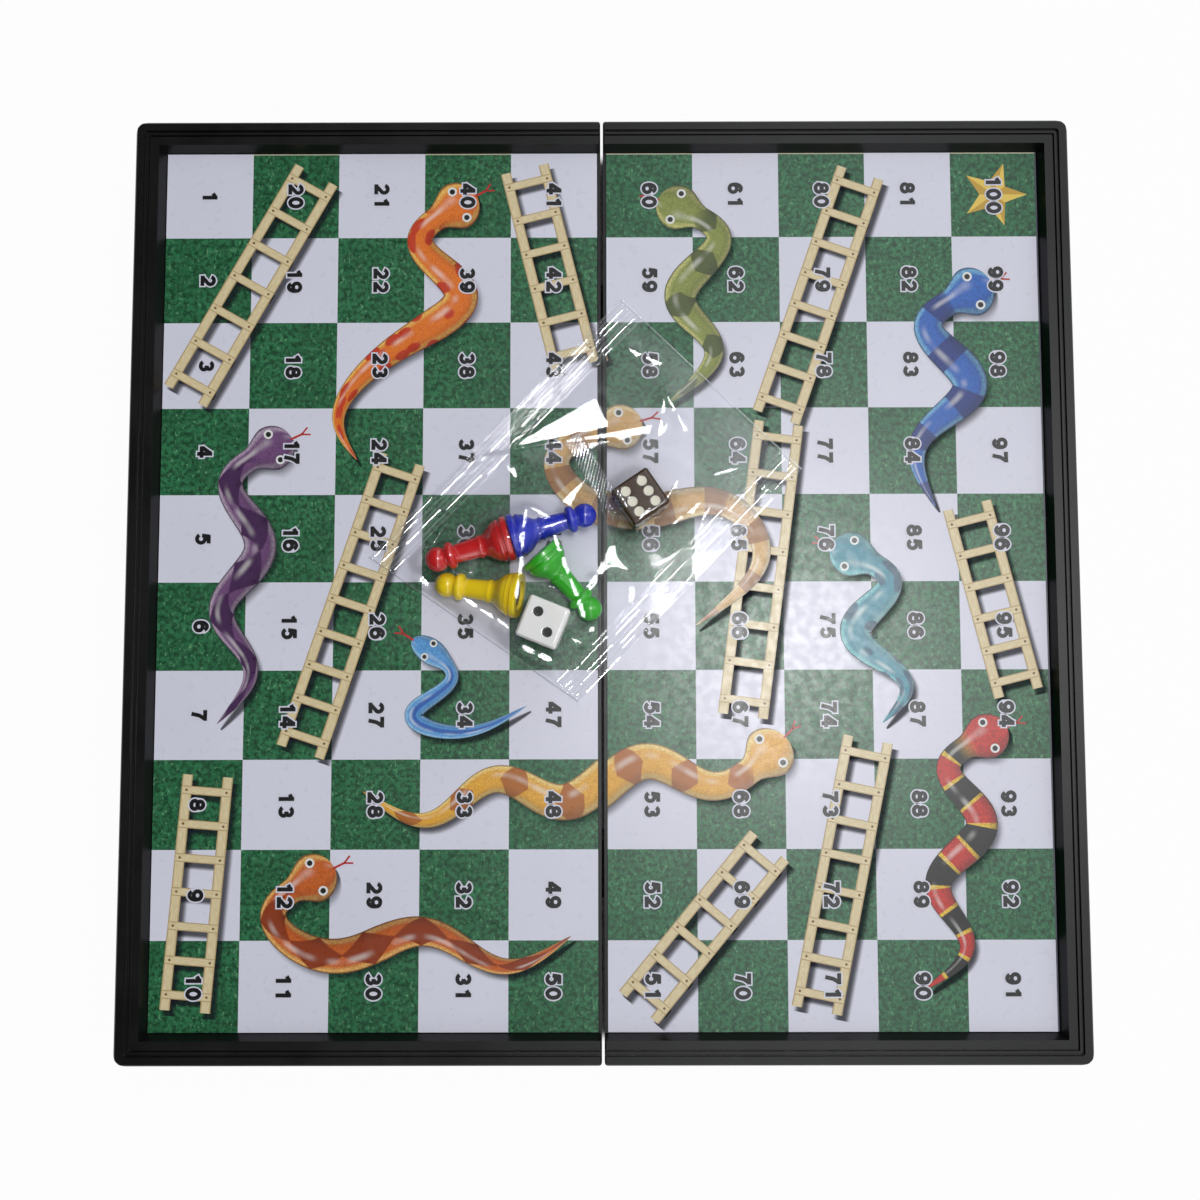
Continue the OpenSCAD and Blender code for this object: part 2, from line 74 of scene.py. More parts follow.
class Nodes:
    """A node tree, with short calls that take sockets or plain numbers."""

    def __init__(self, tree):
        self.tree = tree

    def feed(self, socket, value):
        if isinstance(value, bpy.types.NodeSocket):
            self.tree.links.new(value, socket)
        elif isinstance(value, tuple) and len(value) == 3 and socket.type == "RGBA":
            socket.default_value = (*value, 1)
        else:
            socket.default_value = value

    def node(self, kind, *values, **settings):
        """A new node with its settings, whose first inputs take the values."""
        made = self.tree.nodes.new(kind)
        for name, value in settings.items():
            setattr(made, name, value)
        for socket, value in zip(made.inputs, values):
            self.feed(socket, value)
        return made

    def place(self, kind="Object"):
        return self.node("ShaderNodeTexCoord").outputs[kind]

    def split(self, vector):
        return self.node("ShaderNodeSeparateXYZ", vector).outputs

    def join(self, x, y, z):
        return self.node("ShaderNodeCombineXYZ", x, y, z).outputs[0]

    def stretch(self, vector, scale):
        made = self.node("ShaderNodeMapping", vector)
        self.feed(made.inputs["Scale"], scale)
        return made.outputs[0]

    def math(self, operation, first, second=0.0):
        return self.node("ShaderNodeMath", first, second, operation=operation).outputs[0]

    def times(self, first, second):
        return self.math("MULTIPLY", first, second)

    def step(self, value, low, high, to_low=0.0, to_high=1.0):
        values = (value, low, high, to_low, to_high)
        return self.node("ShaderNodeMapRange", *values, interpolation_type="SMOOTHSTEP").outputs[0]

    def mix(self, factor, first, second):
        made = self.node("ShaderNodeMix", factor, data_type="RGBA")
        self.feed(made.inputs[6], first)
        self.feed(made.inputs[7], second)
        return made.outputs[2]

    def mix_shaders(self, share, first, second):
        return self.node("ShaderNodeMixShader", share, first, second).outputs[0]

    def noise(self, vector, scale, detail=2.0, roughness=0.5):
        made = self.node("ShaderNodeTexNoise", vector)
        made.inputs["Scale"].default_value = scale
        made.inputs["Detail"].default_value = detail
        made.inputs["Roughness"].default_value = roughness
        return made.outputs[0]

    def cells(self, vector, scale, feature="F1"):
        made = self.node("ShaderNodeTexVoronoi", vector, feature=feature)
        made.inputs["Scale"].default_value = scale
        return made.outputs["Distance"]


class Paint(Nodes):
    """One material with its Principled shader."""

    def __init__(self, name, **values):
        self.material = bpy.data.materials.new(name)
        self.material.use_nodes = True
        super().__init__(self.material.node_tree)
        self.shader = self.tree.nodes["Principled BSDF"]
        for socket, value in values.items():
            self.set(socket.replace("_", " "), value)

    def set(self, socket, value):
        self.feed(self.shader.inputs[socket], value)

    def bump(self, height, depth):
        made = self.node("ShaderNodeBump")
        made.inputs["Distance"].default_value = depth
        self.feed(made.inputs["Height"], height)
        self.set("Normal", made.outputs[0])

    def grained(self, grain, low, high, depth):
        """The material, with its roughness and its bump from one grain."""
        self.set("Roughness", self.step(grain, 0.3, 0.7, low, high))
        self.bump(grain, depth)
        return self.material


# Shared helpers for objects
def put(name, data):
    """A new object of the scene."""
    made = bpy.data.objects.new(name, data)
    bpy.context.scene.collection.objects.link(made)
    return made


def mesh_object(name, points, faces, material, uvs=None, smooth=False):
    mesh = bpy.data.meshes.new(name)
    mesh.from_pydata([tuple(p) for p in points], [], faces)
    if uvs is not None:
        corners = np.empty(len(mesh.loops), dtype=np.int32)
        mesh.loops.foreach_get("vertex_index", corners)
        by_corner = np.asarray(uvs, dtype=np.float32)[corners]
        mesh.uv_layers.new(name="UVMap").data.foreach_set("uv", by_corner.ravel())
    mesh.materials.append(material)
    mesh.polygons.foreach_set("use_smooth", [smooth] * len(mesh.polygons))
    return put(name, mesh)


def dress(names, material):
    for name in names:
        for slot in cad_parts[name].material_slots:
            slot.material = material


def soften(names, width):
    """Rounds the hard edges of moulded parts a little, so that they catch the light."""
    for name in names:
        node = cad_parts[name]
        node.modifiers.new("weld", "WELD").merge_threshold = 0.002 * MM
        bevel = node.modifiers.new("bevel", "BEVEL")
        bevel.width = width
        bevel.segments = 2
        bevel.limit_method = "ANGLE"
        bevel.angle_limit = math.radians(40)
        node.modifiers.new("normals", "WEIGHTED_NORMAL").keep_sharp = True


# Stage: the floor, its share of plain white, and where it stays dark under the seam
FLOOR_REACH = 3.0
FLOOR_DROP = 0.1 * MM
FLOOR_GLOW = 0.95
SEAM_DARK = (0.9 * MM, 1.6 * MM)
SEAM_END = (120 * MM, 123.5 * MM)
# Light of the room from left to right: where it rises and where it falls again, and by how much
ROOM_RAMPS = (-0.05, 0.13, 0.03, 2.2), (0.16, 0.38, 0.0, 1.8)
ROOM_COLOUR = (0.95, 0.97, 1)
# Lamps: place, aim, width, height and watts
LAMPS = {
    "key": ((0.1966, 0.0363, 1.2), (0.02, 0, 0), 0.18, 0.18, 4.1),
    "right_box": ((0.75, 0.1, 0.85), (0.05, 0, 0), 0.5, 0.9, 1.5),
}


def stage_material():
    """A pale floor that looks white, but not in the dark slit between the two halves."""
    paint = Paint("stage_white", Base_Color=(0.86, 0.86, 0.86), Roughness=0.9, Specular_IOR_Level=0.1)
    glow = paint.node("ShaderNodeEmission")
    path = paint.node("ShaderNodeLightPath").outputs
    x, y, _ = paint.split(paint.place())
    off_seam = paint.step(paint.math("ABSOLUTE", x), *SEAM_DARK)
    past_ends = paint.step(paint.math("ABSOLUTE", y), *SEAM_END)
    seen = paint.math("MAXIMUM", path["Is Camera Ray"], path["Is Transmission Ray"])
    seen = paint.math("MAXIMUM", seen, path["Is Glossy Ray"])
    open_floor = paint.math("MAXIMUM", off_seam, past_ends)
    share = paint.times(paint.times(seen, open_floor), FLOOR_GLOW)
    mixed = paint.mix_shaders(share, paint.shader.outputs[0], glow.outputs[0])
    paint.feed(paint.tree.nodes["Material Output"].inputs["Surface"], mixed)
    return paint.material


def make_stage():
    signs = [(-1, -1), (1, -1), (1, 1), (-1, 1)]
    corners = [(a * FLOOR_REACH, b * FLOOR_REACH, -FLOOR_DROP) for a, b in signs]
    floor = mesh_object("floor", corners, [(0, 1, 2, 3)], stage_material())


def make_world():
    """A dim room that is brightest a little right of overhead, in front of a white background."""
    world = bpy.data.worlds.new("studio")
    bpy.context.scene.world = world
    world.use_nodes = True
    nodes = Nodes(world.node_tree)
    nodes.tree.nodes.clear()
    across = nodes.split(nodes.place("Generated"))["X"]
    level = nodes.math("SUBTRACT", *[nodes.step(across, *ramp) for ramp in ROOM_RAMPS])
    room = nodes.node("ShaderNodeBackground", ROOM_COLOUR, level)
    white = nodes.node("ShaderNodeBackground", (1, 1, 1))
    path = nodes.node("ShaderNodeLightPath").outputs
    seen = nodes.math("MAXIMUM", path["Is Camera Ray"], path["Is Transmission Ray"])
    mixed = nodes.mix_shaders(seen, room.outputs[0], white.outputs[0])
    nodes.node("ShaderNodeOutputWorld", mixed)


def make_lamp(name, at, towards, width, height, watts):
    data = bpy.data.lights.new(name, "AREA")
    data.shape = "RECTANGLE"
    data.size = width
    data.size_y = height
    data.energy = watts
    lamp = put(name, data)
    lamp.location = at
    lamp.rotation_euler = (Vector(towards) - Vector(at)).to_track_quat("-Z", "Y").to_euler()


def make_camera():
    data = bpy.data.cameras.new("camera")
    data.lens = LENS_MM
    data.sensor_width = SENSOR_MM
    data.clip_start = 1 * MM
    camera = put("camera", data)
    camera.location = CAMERA_AT
    camera.rotation_euler = CAMERA_TURN
    bpy.context.scene.camera = camera


# Materials of the case and its fittings
def case_plastic():
    paint = Paint("case_plastic", Base_Color=(0.002, 0.002, 0.0022), Specular_IOR_Level=0.4)
    place = paint.place()
    grain = paint.noise(place, 2600, 3)
    wear = paint.noise(place, 60, 4, 0.65)
    paint.set("Roughness", paint.step(wear, 0.25, 0.75, 0.3, 0.4))
    paint.bump(grain, 0.012 * MM)
    return paint.material


def link_plastic():
    paint = Paint("link_plastic", Base_Color=(0.011, 0.011, 0.012))
    place = paint.place()
    paint.set("Roughness", paint.step(paint.noise(place, 400, 3), 0.3, 0.7, 0.34, 0.5))
    paint.bump(paint.noise(place, 3000, 2), 0.01 * MM)
    return paint.material


def steel(name, colour, along):
    paint = Paint(name, Base_Color=colour, Metallic=1.0)
    brushed = paint.noise(paint.stretch(paint.place(), along), 900, 3)
    return paint.grained(brushed, 0.24, 0.42, 0.004 * MM)


def ferrite():
    paint = Paint("ferrite", Metallic=0.3)
    grain = paint.noise(paint.place(), 1800, 4, 0.7)
    paint.set("Base Color", paint.mix(grain, (0.02, 0.02, 0.022), (0.06, 0.06, 0.065)))
    return paint.grained(grain, 0.42, 0.6, 0.02 * MM)


def gloss_plastic(name, deep, bright, coat=0.4, specular=0.5):
    paint = Paint(name, Coat_Weight=coat, Coat_Roughness=0.06, Specular_IOR_Level=specular)
    paint.set("Subsurface Weight", 0.12)
    paint.set("Subsurface Scale", 0.8 * MM)
    place = paint.place()
    cloud = paint.noise(place, 160, 3)
    paint.set("Base Color", paint.mix(cloud, deep, bright))
    paint.set("Roughness", paint.step(paint.noise(place, 700, 3), 0.3, 0.7, 0.16, 0.26))
    paint.bump(paint.noise(place, 900, 2), 0.006 * MM)
    return paint.material


def spot_paint(name, low, high):
    paint = Paint(name, Specular_IOR_Level=0.25)
    cloud = paint.noise(paint.place(), 1500, 3)
    paint.set("Base Color", paint.mix(cloud, low, high))
    return paint.grained(cloud, 0.3, 0.45, 0.01 * MM)


# Printed sheets
PRINT_ROUGHNESS = (0.27, 0.34)
WHITE_INK = (0.7, 0.7, 0.8)
GREEN_INKS = ((0.007, 0.058, 0.023), (0.029, 0.18, 0.072), (0.15, 0.4, 0.19))
# Thin edges: cream over the green squares at the top, and painted shade in a dark strip along the right
# side
CREAM_INK = (0.52, 0.5, 0.36)
TOP_EDGE = 0.3 * MM
RIM_SHADE_TONE = (0.05, 0.055, 0.08)
RIM_SHADE_WIDTH = 0.4 * MM


def ink_gloss(paint):
    orange_peel = paint.noise(paint.place(), 420, 2)
    paint.set("Roughness", paint.step(orange_peel, 0.3, 0.7, *PRINT_ROUGHNESS))


def turf(paint, place):
    """Printed grass: dark blades, mid tones and pale flecks."""
    blades = paint.noise(place, 820, 3, 0.6)
    flecks = paint.noise(paint.stretch(place, (1, 0.6, 1)), 1500, 2, 0.55)
    patches = paint.noise(place, 130, 2)
    dark, middle, pale = GREEN_INKS
    base = paint.mix(paint.step(blades, 0.38, 0.6), dark, middle)
    shaded = paint.mix(paint.step(patches, 0.3, 0.7, 0.0, 0.35), base, dark)
    return paint.mix(paint.step(flecks, 0.58, 0.75, 0.0, 0.7), shaded, pale)


def sheet_print(name, low, high, first_column):
    paint = Paint(name)
    place = paint.place()
    x, y, _ = paint.split(place)
    column = paint.math("FLOOR", paint.math("DIVIDE", paint.math("SUBTRACT", x, low.x), CELL_W))
    row = paint.math("FLOOR", paint.math("DIVIDE", paint.math("SUBTRACT", high.y, y), CELL_H))
    count = paint.math("ADD", paint.math("ADD", column, first_column), row)
    odd = paint.math("MODULO", paint.math("ADD", count, 2 * ROWS), 2)
    tint = paint.noise(place, 35, 2)
    white = paint.mix(paint.step(tint, 0.3, 0.7), WHITE_INK, tuple(0.97 * c for c in WHITE_INK))
    squares = paint.mix(odd, white, turf(paint, place))
    cream = paint.times(paint.math("GREATER_THAN", y, high.y - TOP_EDGE), odd)
    edged = paint.mix(cream, squares, CREAM_INK)
    if first_column:
        # A dark strip of painted shade along the right side of the right sheet, where it meets the rim's
        # wall
        rim_shade = paint.math("GREATER_THAN", x, high.x - RIM_SHADE_WIDTH)
        edged = paint.mix(rim_shade, edged, RIM_SHADE_TONE)
    paint.set("Base Color", edged)
    ink_gloss(paint)
    return paint.material


def plain_ink(name, colour):
    paint = Paint(name)
    cloud = paint.noise(paint.place(), 700, 2)
    paint.set("Base Color", paint.mix(cloud, colour, tuple(0.9 * c for c in colour)))
    ink_gloss(paint)
    return paint.material


def on_print(column, row):
    """A place in squares as a place on the whole print, which has no seam yet."""
    return Vector(((column - COLUMNS_PER_HALF) * CELL_W, LEFT_HIGH.y - row * CELL_H))


class Print:
    """Thin solids of ink on the whole print, which lay() cuts at the seam and puts on the two sheets."""

    def __init__(self, name):
        self.name = name
        self.parts = []
        self.materials = []

    def add(self, top, faces, uvs, z, material):
        """Adds a flat shape as a solid one ink layer thick. Faces list its own points, anticlockwise."""
        if material not in self.materials:
            self.materials.append(material)
        count = len(top)
        points = [(x, y, height) for height in (z + INK, z) for x, y in top]
        edges = {(a, b) for face in faces for a, b in zip(face, [*face[1:], face[0]])}
        rim = [(a, b) for a, b in edges if (b, a) not in edges]
        solid = [tuple(face) for face in faces]
        solid.extend(tuple(count + i for i in reversed(face)) for face in faces)
        solid.extend((b, a, count + a, count + b) for a, b in sorted(rim))
        self.parts.append((points, solid, [*uvs, *uvs], self.materials.index(material)))

    def ribbon(self, points, normals, lengths, half_widths, z, material, across=8):
        shares = np.linspace(-1, 1, across + 1)
        top = [p + n * w * s for p, n, w in zip(points, normals, half_widths) for s in shares]
        uvs = [(length / MM, s) for length in lengths for s in shares]
        step = across + 1
        faces = [
            (i * step + j, (i + 1) * step + j, (i + 1) * step + j + 1, i * step + j + 1)
            for i in range(len(points) - 1) for j in range(across)
        ]
        self.add(top, faces, uvs, z, material)

    def board(self, start, end, half, z, material):
        """A straight ribbon, such as one rail of a ladder."""
        way = (end - start).normalized()
        at = np.linspace(0, (end - start).length, 9)
        points = [np.array(start + way * length) for length in at]
        normals = [np.array((-way.y, way.x))] * len(at)
        self.ribbon(points, normals, at, [half] * len(at), z, material, across=4)

    def disc(self, centre, radius, z, material, sides=20):
        turns = [math.tau * i / sides for i in range(sides)]
        top = [(centre[0] + radius * math.cos(t), centre[1] + radius * math.sin(t)) for t in turns]
        self.add(top, [tuple(range(sides))], [(0, 0)] * sides, z, material)

    def half(self, sign):
        """A mesh of the parts that reach one side of the seam, cut at the edges of that sheet."""
        work = bmesh.new()
        layer = work.loops.layers.uv.new("UVMap")
        for points, faces, uvs, ink in self.parts:
            if all(sign * p[0] <= 0 for p in points):
                continue
            made = [work.verts.new(p) for p in points]
            for face in faces:
                new = work.faces.new([made[i] for i in face])
                new.material_index = ink
                for loop, i in zip(new.loops, face):
                    loop[layer].uv = uvs[i]
        cuts = [((0, 0, 0), (-sign, 0, 0)), ((sign * COLUMNS_PER_HALF * CELL_W, 0, 0), (sign, 0, 0)),
                ((0, LEFT_HIGH.y, 0), (0, 1, 0)), ((0, LEFT_LOW.y, 0), (0, -1, 0))]
        for at, way in cuts:
            everything = [*work.verts, *work.edges, *work.faces]
            bmesh.ops.bisect_plane(work, geom=everything, plane_co=at, plane_no=way,
                                   clear_outer=True, dist=1e-9)
        bmesh.ops.holes_fill(work, edges=[e for e in work.edges if e.is_boundary], sides=0)
        return work

    def lay(self):
        for side, sign in (("left", -1), ("right", 1)):
            work = self.half(sign)
            bmesh.ops.translate(work, verts=work.verts, vec=(HALVES[side], 0, 0))
            mesh = bpy.data.meshes.new(f"{side}_{self.name}")
            work.to_mesh(mesh)
            work.free()
            for material in self.materials:
                mesh.materials.append(material)
            laid = put(mesh.name, mesh)
            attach(laid, f"{side}_half")


# Plain bold figures, each a few strokes of one width, in shares of their height from their middle
FIGURE_H = 4.05 * MM
FIGURE_STROKE = 0.26
FIGURE_PITCH = 0.91
OUTLINE_W = 0.36 * MM / FIGURE_H
BLACK_INK = (0.007, 0.007, 0.008)


def bow(x, y, across, up, start, end, steps=12):
    """Points of an elliptic arc between two angles in degrees."""
    turns = np.radians(np.linspace(start, end, steps + 1))
    return [(x + across * math.cos(t), y + up * math.sin(t)) for t in turns]


FIGURES = {
    "0": [bow(0, 0, 0.265, 0.385, 0, 360, 22)],
    "1": [[(0.09, -0.5), (0.09, 0.5)], [(0.12, 0.4), (-0.2, 0.2)]],
    "2": [[*bow(0, 0.135, 0.25, 0.25, 165, -25), (-0.2, -0.36)], [(-0.34, -0.385), (0.35, -0.385)]],
    "3": [bow(-0.01, 0.185, 0.235, 0.2, 160, -90), bow(-0.01, -0.17, 0.265, 0.215, 90, -160)],
    "4": [[(0.13, -0.5), (0.13, 0.5)], [(0.12, 0.42), (-0.29, -0.16)], [(-0.38, -0.2), (0.39, -0.2)]],
    "5": [[(0.31, 0.385), (-0.24, 0.385)], [(-0.15, 0.44), (-0.22, -0.06)],
          bow(0, -0.12, 0.265, 0.265, 145, -155)],
    "6": [bow(0, -0.14, 0.26, 0.245, 0, 360, 18), bow(0, 0, 0.27, 0.385, 35, 200)],
    "7": [[(-0.34, 0.385), (0.36, 0.385)], [(0.25, 0.4), (0.02, 0.02), (-0.1, -0.5)]],
    "8": [bow(0, 0.195, 0.215, 0.19, 0, 360, 18), bow(0, -0.17, 0.265, 0.215, 0, 360, 18)],
}
FIGURES["9"] = [[(-x, -y) for x, y in stroke] for stroke in FIGURES["6"]]


def stroke_quads(stroke, half, longer):
    """Quads along one stroke, whose open ends run on a little longer."""
    points = np.array(stroke)
    closed = np.allclose(points[0], points[-1])
    ways = np.gradient(points, axis=0)
    if closed:
        ways[0] = ways[-1] = points[1] - points[-2]
    ways /= np.linalg.norm(ways, axis=1)[:, None]
    if not closed:
        points[0] -= longer * ways[0]
        points[-1] += longer * ways[-1]
    sides = half * np.stack([-ways[:, 1], ways[:, 0]], axis=1)
    right, left = points - sides, points + sides
    return [(right[i], right[i + 1], left[i + 1], left[i]) for i in range(len(points) - 1)]


def figure_shape(figure, half, longer):
    """One flat shape of all the strokes of a figure, as triangles."""
    quads = [quad for stroke in FIGURES[figure] for quad in stroke_quads(stroke, half, longer)]
    corners = [Vector(p) for quad in quads for p in quad]
    rings = [list(range(4 * i, 4 * i + 4)) for i in range(len(quads))]
    points, _, faces, _, _, owners = delaunay_2d_cdt(corners, [], rings, 0, 1e-6)
    return points, [face for face, owner in zip(faces, owners) if owner]


def number_at(column, row):
    """Columns run down and up by turns, from 1 at the top left to 100 at the top right."""
    if column % 2:
        return ROWS * (column + 1) - row
    return ROWS * column + 1 + row


def make_numbers(name, wider, material):
    """All the numbers, turned to be read from the left, with their strokes made wider by a share."""
    half = FIGURE_STROKE / 2 + wider
    shapes = {figure: figure_shape(figure, half, wider) for figure in FIGURES}
    layer = Print(f"{name}s")
    for column in range(2 * COLUMNS_PER_HALF):
        for row in range(ROWS):
            text = str(number_at(column, row))
            centre = on_print(column + 0.5, row + 0.5)
            for i, figure in enumerate(text):
                points, faces = shapes[figure]
                start = (i - (len(text) - 1) / 2) * FIGURE_PITCH
                top = [(centre.x + y * FIGURE_H, centre.y - (start + x) * FIGURE_H) for x, y in points]
                layer.add(top, faces, [(0, 0)] * len(top), LAYER[name], material)
    layer.lay()


def make_sheets():
    dress(["left_play_sheet"], sheet_print("left_print", LEFT_LOW, LEFT_HIGH, 0))
    dress(["right_play_sheet"], sheet_print("right_print", RIGHT_LOW, RIGHT_HIGH, COLUMNS_PER_HALF))
    make_numbers("outline", OUTLINE_W, plain_ink("outline_white", WHITE_INK))
    make_numbers("number", 0, plain_ink("number_black", BLACK_INK))


# Printed art: plain snakes and ladders in a layout of their own, in squares from the top left corner
LADDER_W = 10.5 * MM
RAIL_HALF = 1.35 * MM
RAIL_END = 4 * MM
RUNG_HALF = 1.1 * MM
RUNG_PITCH = 9.5 * MM
RUNG_END = 0.8 * RAIL_HALF
NAIL_R = 0.34 * MM
NAIL_SIDES = 12
SHADOW_SHIFT = Vector((1.1, -1.5)) * MM
RAIL_SHADOW_HALF = 1.7 * RAIL_HALF
RUNG_SHADOW_HALF = 1.5 * RUNG_HALF
# Foot and top of each ladder
LADDERS = [
    ((0.35, 2.7), (1.65, 0.4)), ((4.7, 2.35), (4.2, 0.35)), ((7.0, 2.95), (7.9, 0.4)),
    ((9.6, 6.1), (9.15, 4.3)), ((1.7, 6.75), (2.7, 3.75)), ((0.42, 9.6), (0.6, 7.35)),
    ((5.45, 9.6), (6.7, 8.1)), ((7.35, 9.6), (7.9, 6.95)), ((6.55, 6.35), (6.95, 3.35)),
]
# Snakes: their pattern, half width in millimetres, colours of back, edge and markings, and path
Snake = namedtuple("Snake", "pattern wide back edge mark path")
SNAKES = {
    "plum": Snake("diamonds", 4.3, (0.17, 0.075, 0.19), (0.5, 0.4, 0.5), (0.06, 0.02, 0.08),
                  [(1.5, 3.35), (0.62, 3.85), (1.35, 4.6), (0.55, 5.3), (1.2, 5.95), (0.7, 6.6)]),
    "amber": Snake("spots", 4.6, (0.78, 0.2, 0.02), (0.86, 0.6, 0.14), (0.55, 0.045, 0.012),
                   [(3.6, 0.5), (2.75, 1.05), (3.65, 1.7), (2.6, 2.3), (1.95, 3.05), (2.25, 3.6)]),
    "ocean": Snake("bands", 4.8, (0.02, 0.13, 0.5), (0.2, 0.5, 0.72), (0.01, 0.035, 0.2),
                   [(9.45, 1.55), (8.5, 2.05), (9.4, 2.75), (8.45, 3.35), (8.75, 4.15)]),
    "olive": Snake("saddles", 4.4, (0.26, 0.3, 0.06), (0.6, 0.58, 0.2), (0.075, 0.1, 0.02),
                   [(5.6, 0.55), (6.5, 1.0), (5.65, 1.7), (6.4, 2.3), (5.7, 2.95)]),
    "honey": Snake("saddles", 4.9, (0.8, 0.42, 0.04), (0.88, 0.7, 0.26), (0.42, 0.13, 0.015),
                   [(7.0, 6.75), (6.2, 7.45), (5.4, 6.85), (4.65, 7.65), (3.85, 7.05), (3.15, 7.8),
                    (2.35, 7.35)]),
    "coral": Snake("rings", 4.2, (0.62, 0.03, 0.02), (0.85, 0.55, 0.04), (0.008, 0.007, 0.007),
                   [(9.5, 6.65), (8.65, 7.1), (9.4, 7.75), (8.5, 8.35), (9.15, 9.05), (8.5, 9.55)]),
    "sky": Snake("stripe", 2.4, (0.1, 0.34, 0.68), (0.35, 0.62, 0.8), (0.03, 0.12, 0.42),
                 [(2.9, 5.65), (3.5, 6.1), (2.75, 6.5), (3.5, 6.75), (4.2, 6.4)]),
    "clay": Snake("diamonds", 4.5, (0.6, 0.13, 0.02), (0.84, 0.52, 0.16), (0.26, 0.04, 0.008),
                  [(2.05, 8.2), (1.2, 8.7), (2.1, 9.3), (3.05, 8.75), (3.9, 9.4), (4.7, 8.95)]),
    "teal": Snake("spots", 4.2, (0.02, 0.26, 0.34), (0.2, 0.6, 0.6), (0.006, 0.09, 0.16),
                  [(7.55, 4.6), (8.4, 5.0), (7.6, 5.6), (8.5, 6.1), (8.1, 6.6)]),
    "sand": Snake("bands", 4.4, (0.66, 0.4, 0.12), (0.86, 0.74, 0.42), (0.34, 0.15, 0.04),
                  [(5.4, 3.15), (4.35, 3.55), (5.2, 4.35), (6.25, 3.95), (6.9, 4.75), (6.0, 5.5)]),
}
ROUNDING = 220
# Length of one marking in a snake's half widths
MARK_PITCH = 3.2
HEAD_L = 13 * MM
HEAD_WIDER = 1.42
NECK_SHARE = 0.72
SNOUT_POINTS = 14
BODY_STEP = 0.9 * MM
SNAKE_SHADOW = (1.15, 0.3 * MM)
# Eyes, on a snake of usual width, and their place in shares of the head's length and half width
EYE_R = 1.25 * MM
EYE_LEAST = 0.55
EYE_PLACE = (0.4, 0.62)
PUPIL_SHARE = 0.58
USUAL_WIDE = 4.5
# Tongue and its two tips: length, half width and how far each starts inside what carries it
TONGUE = (3 * MM, 0.28 * MM, 0.4 * MM)
TIP = (2.2 * MM, 0.22 * MM, 0.2 * MM)
TIP_TURN = 0.5
STAR_AT = (9.5, 0.5)
STAR_R = 9 * MM
STAR_WAIST = 0.42
STAR_CORNERS = 10
PLAIN_INKS = {
    "nail": (0.2, 0.1, 0.03), "eye_white": (0.8, 0.8, 0.78), "eye_black": (0.01, 0.01, 0.01),
    "tongue_red": (0.5, 0.02, 0.02), "star_gold": (0.82, 0.58, 0.1), "star_shade": (0.56, 0.34, 0.04),
}


def smooth_line(corners, per_span=28):
    """Points on a Catmull-Rom curve through the corners, rounded off further."""
    ends = [2 * corners[0] - corners[1], *corners, 2 * corners[-1] - corners[-2]]
    line = []
    for before, start, end, after in zip(ends, ends[1:], ends[2:], ends[3:]):
        square = 2 * before - 5 * start + 4 * end - after
        cube = 3 * start - before - 3 * end + after
        for i in range(per_span):
            t = i / per_span
            line.append(0.5 * (2 * start + (end - before) * t + square * t ** 2 + cube * t ** 3))
    line = np.array([*line, corners[-1]])
    for _ in range(ROUNDING):
        line[1:-1] = (line[:-2] + 2 * line[1:-1] + line[2:]) / 4
    return line


def along(line, at):
    """Points, unit tangents and unit normals at the given lengths along a line."""
    lengths = np.concatenate([[0], np.cumsum(np.linalg.norm(np.diff(line, axis=0), axis=1))])
    points = np.stack([np.interp(at, lengths, line[:, k]) for k in range(2)], axis=1)
    slopes = np.stack([np.gradient(line[:, k], lengths) for k in range(2)], axis=1)
    tangents = np.stack([np.interp(at, lengths, slopes[:, k]) for k in range(2)], axis=1)
    tangents /= np.linalg.norm(tangents, axis=1)[:, None]
    return points, tangents, np.stack([-tangents[:, 1], tangents[:, 0]], axis=1)


def line_length(line):
    return float(np.linalg.norm(np.diff(line, axis=0), axis=1).sum())


def wood_ink():
    paint = Paint("wood_ink")
    length, across, _ = paint.split(paint.place("UV"))
    drawn_out = paint.join(paint.times(length, 0.12), paint.times(across, 1.6), 0)
    grain = paint.noise(drawn_out, 4, 3)
    wood = paint.mix(paint.step(grain, 0.3, 0.7), (0.76, 0.66, 0.42), (0.64, 0.51, 0.28))
    rim = paint.step(paint.math("ABSOLUTE", across), 0.62, 0.95, 0.0, 0.7)
    paint.set("Base Color", paint.mix(rim, wood, (0.34, 0.2, 0.06)))
    ink_gloss(paint)
    return paint.material


def shadow_ink():
    paint = Paint("shadow_ink", Base_Color=(0.02, 0.02, 0.03), Specular_IOR_Level=0.0, Roughness=0.9)
    across = paint.math("ABSOLUTE", paint.split(paint.place("UV"))[1])
    paint.set("Alpha", paint.step(across, 0.25, 1.0, 0.42, 0.0))
    return paint.material


def pattern_mask(paint, pattern, length, across, wide):
    """Where a snake's markings are, from the length along it in millimetres and the share across it."""
    pitch = MARK_PITCH * wide
    wave = paint.math("COSINE", paint.times(length, math.tau / pitch))
    if pattern == "saddles":
        return paint.step(paint.math("SUBTRACT", wave, paint.times(across, 0.9)), -0.1, 0.08)
    if pattern == "bands":
        return paint.step(wave, 0.25, 0.4)
    if pattern == "rings":
        return paint.step(wave, 0.1, 0.2)
    if pattern == "diamonds":
        saw = paint.math("PINGPONG", paint.math("DIVIDE", length, pitch), 0.5)
        return paint.step(paint.math("SUBTRACT", paint.times(saw, 1.9), across), -0.1, 0.02)
    if pattern == "stripe":
        return paint.step(across, 0.34, 0.22)
    place = paint.join(paint.math("DIVIDE", length, 1.3 * wide), paint.times(across, 1.25), 0)
    return paint.step(paint.cells(place, 1.0), 0.44, 0.34)


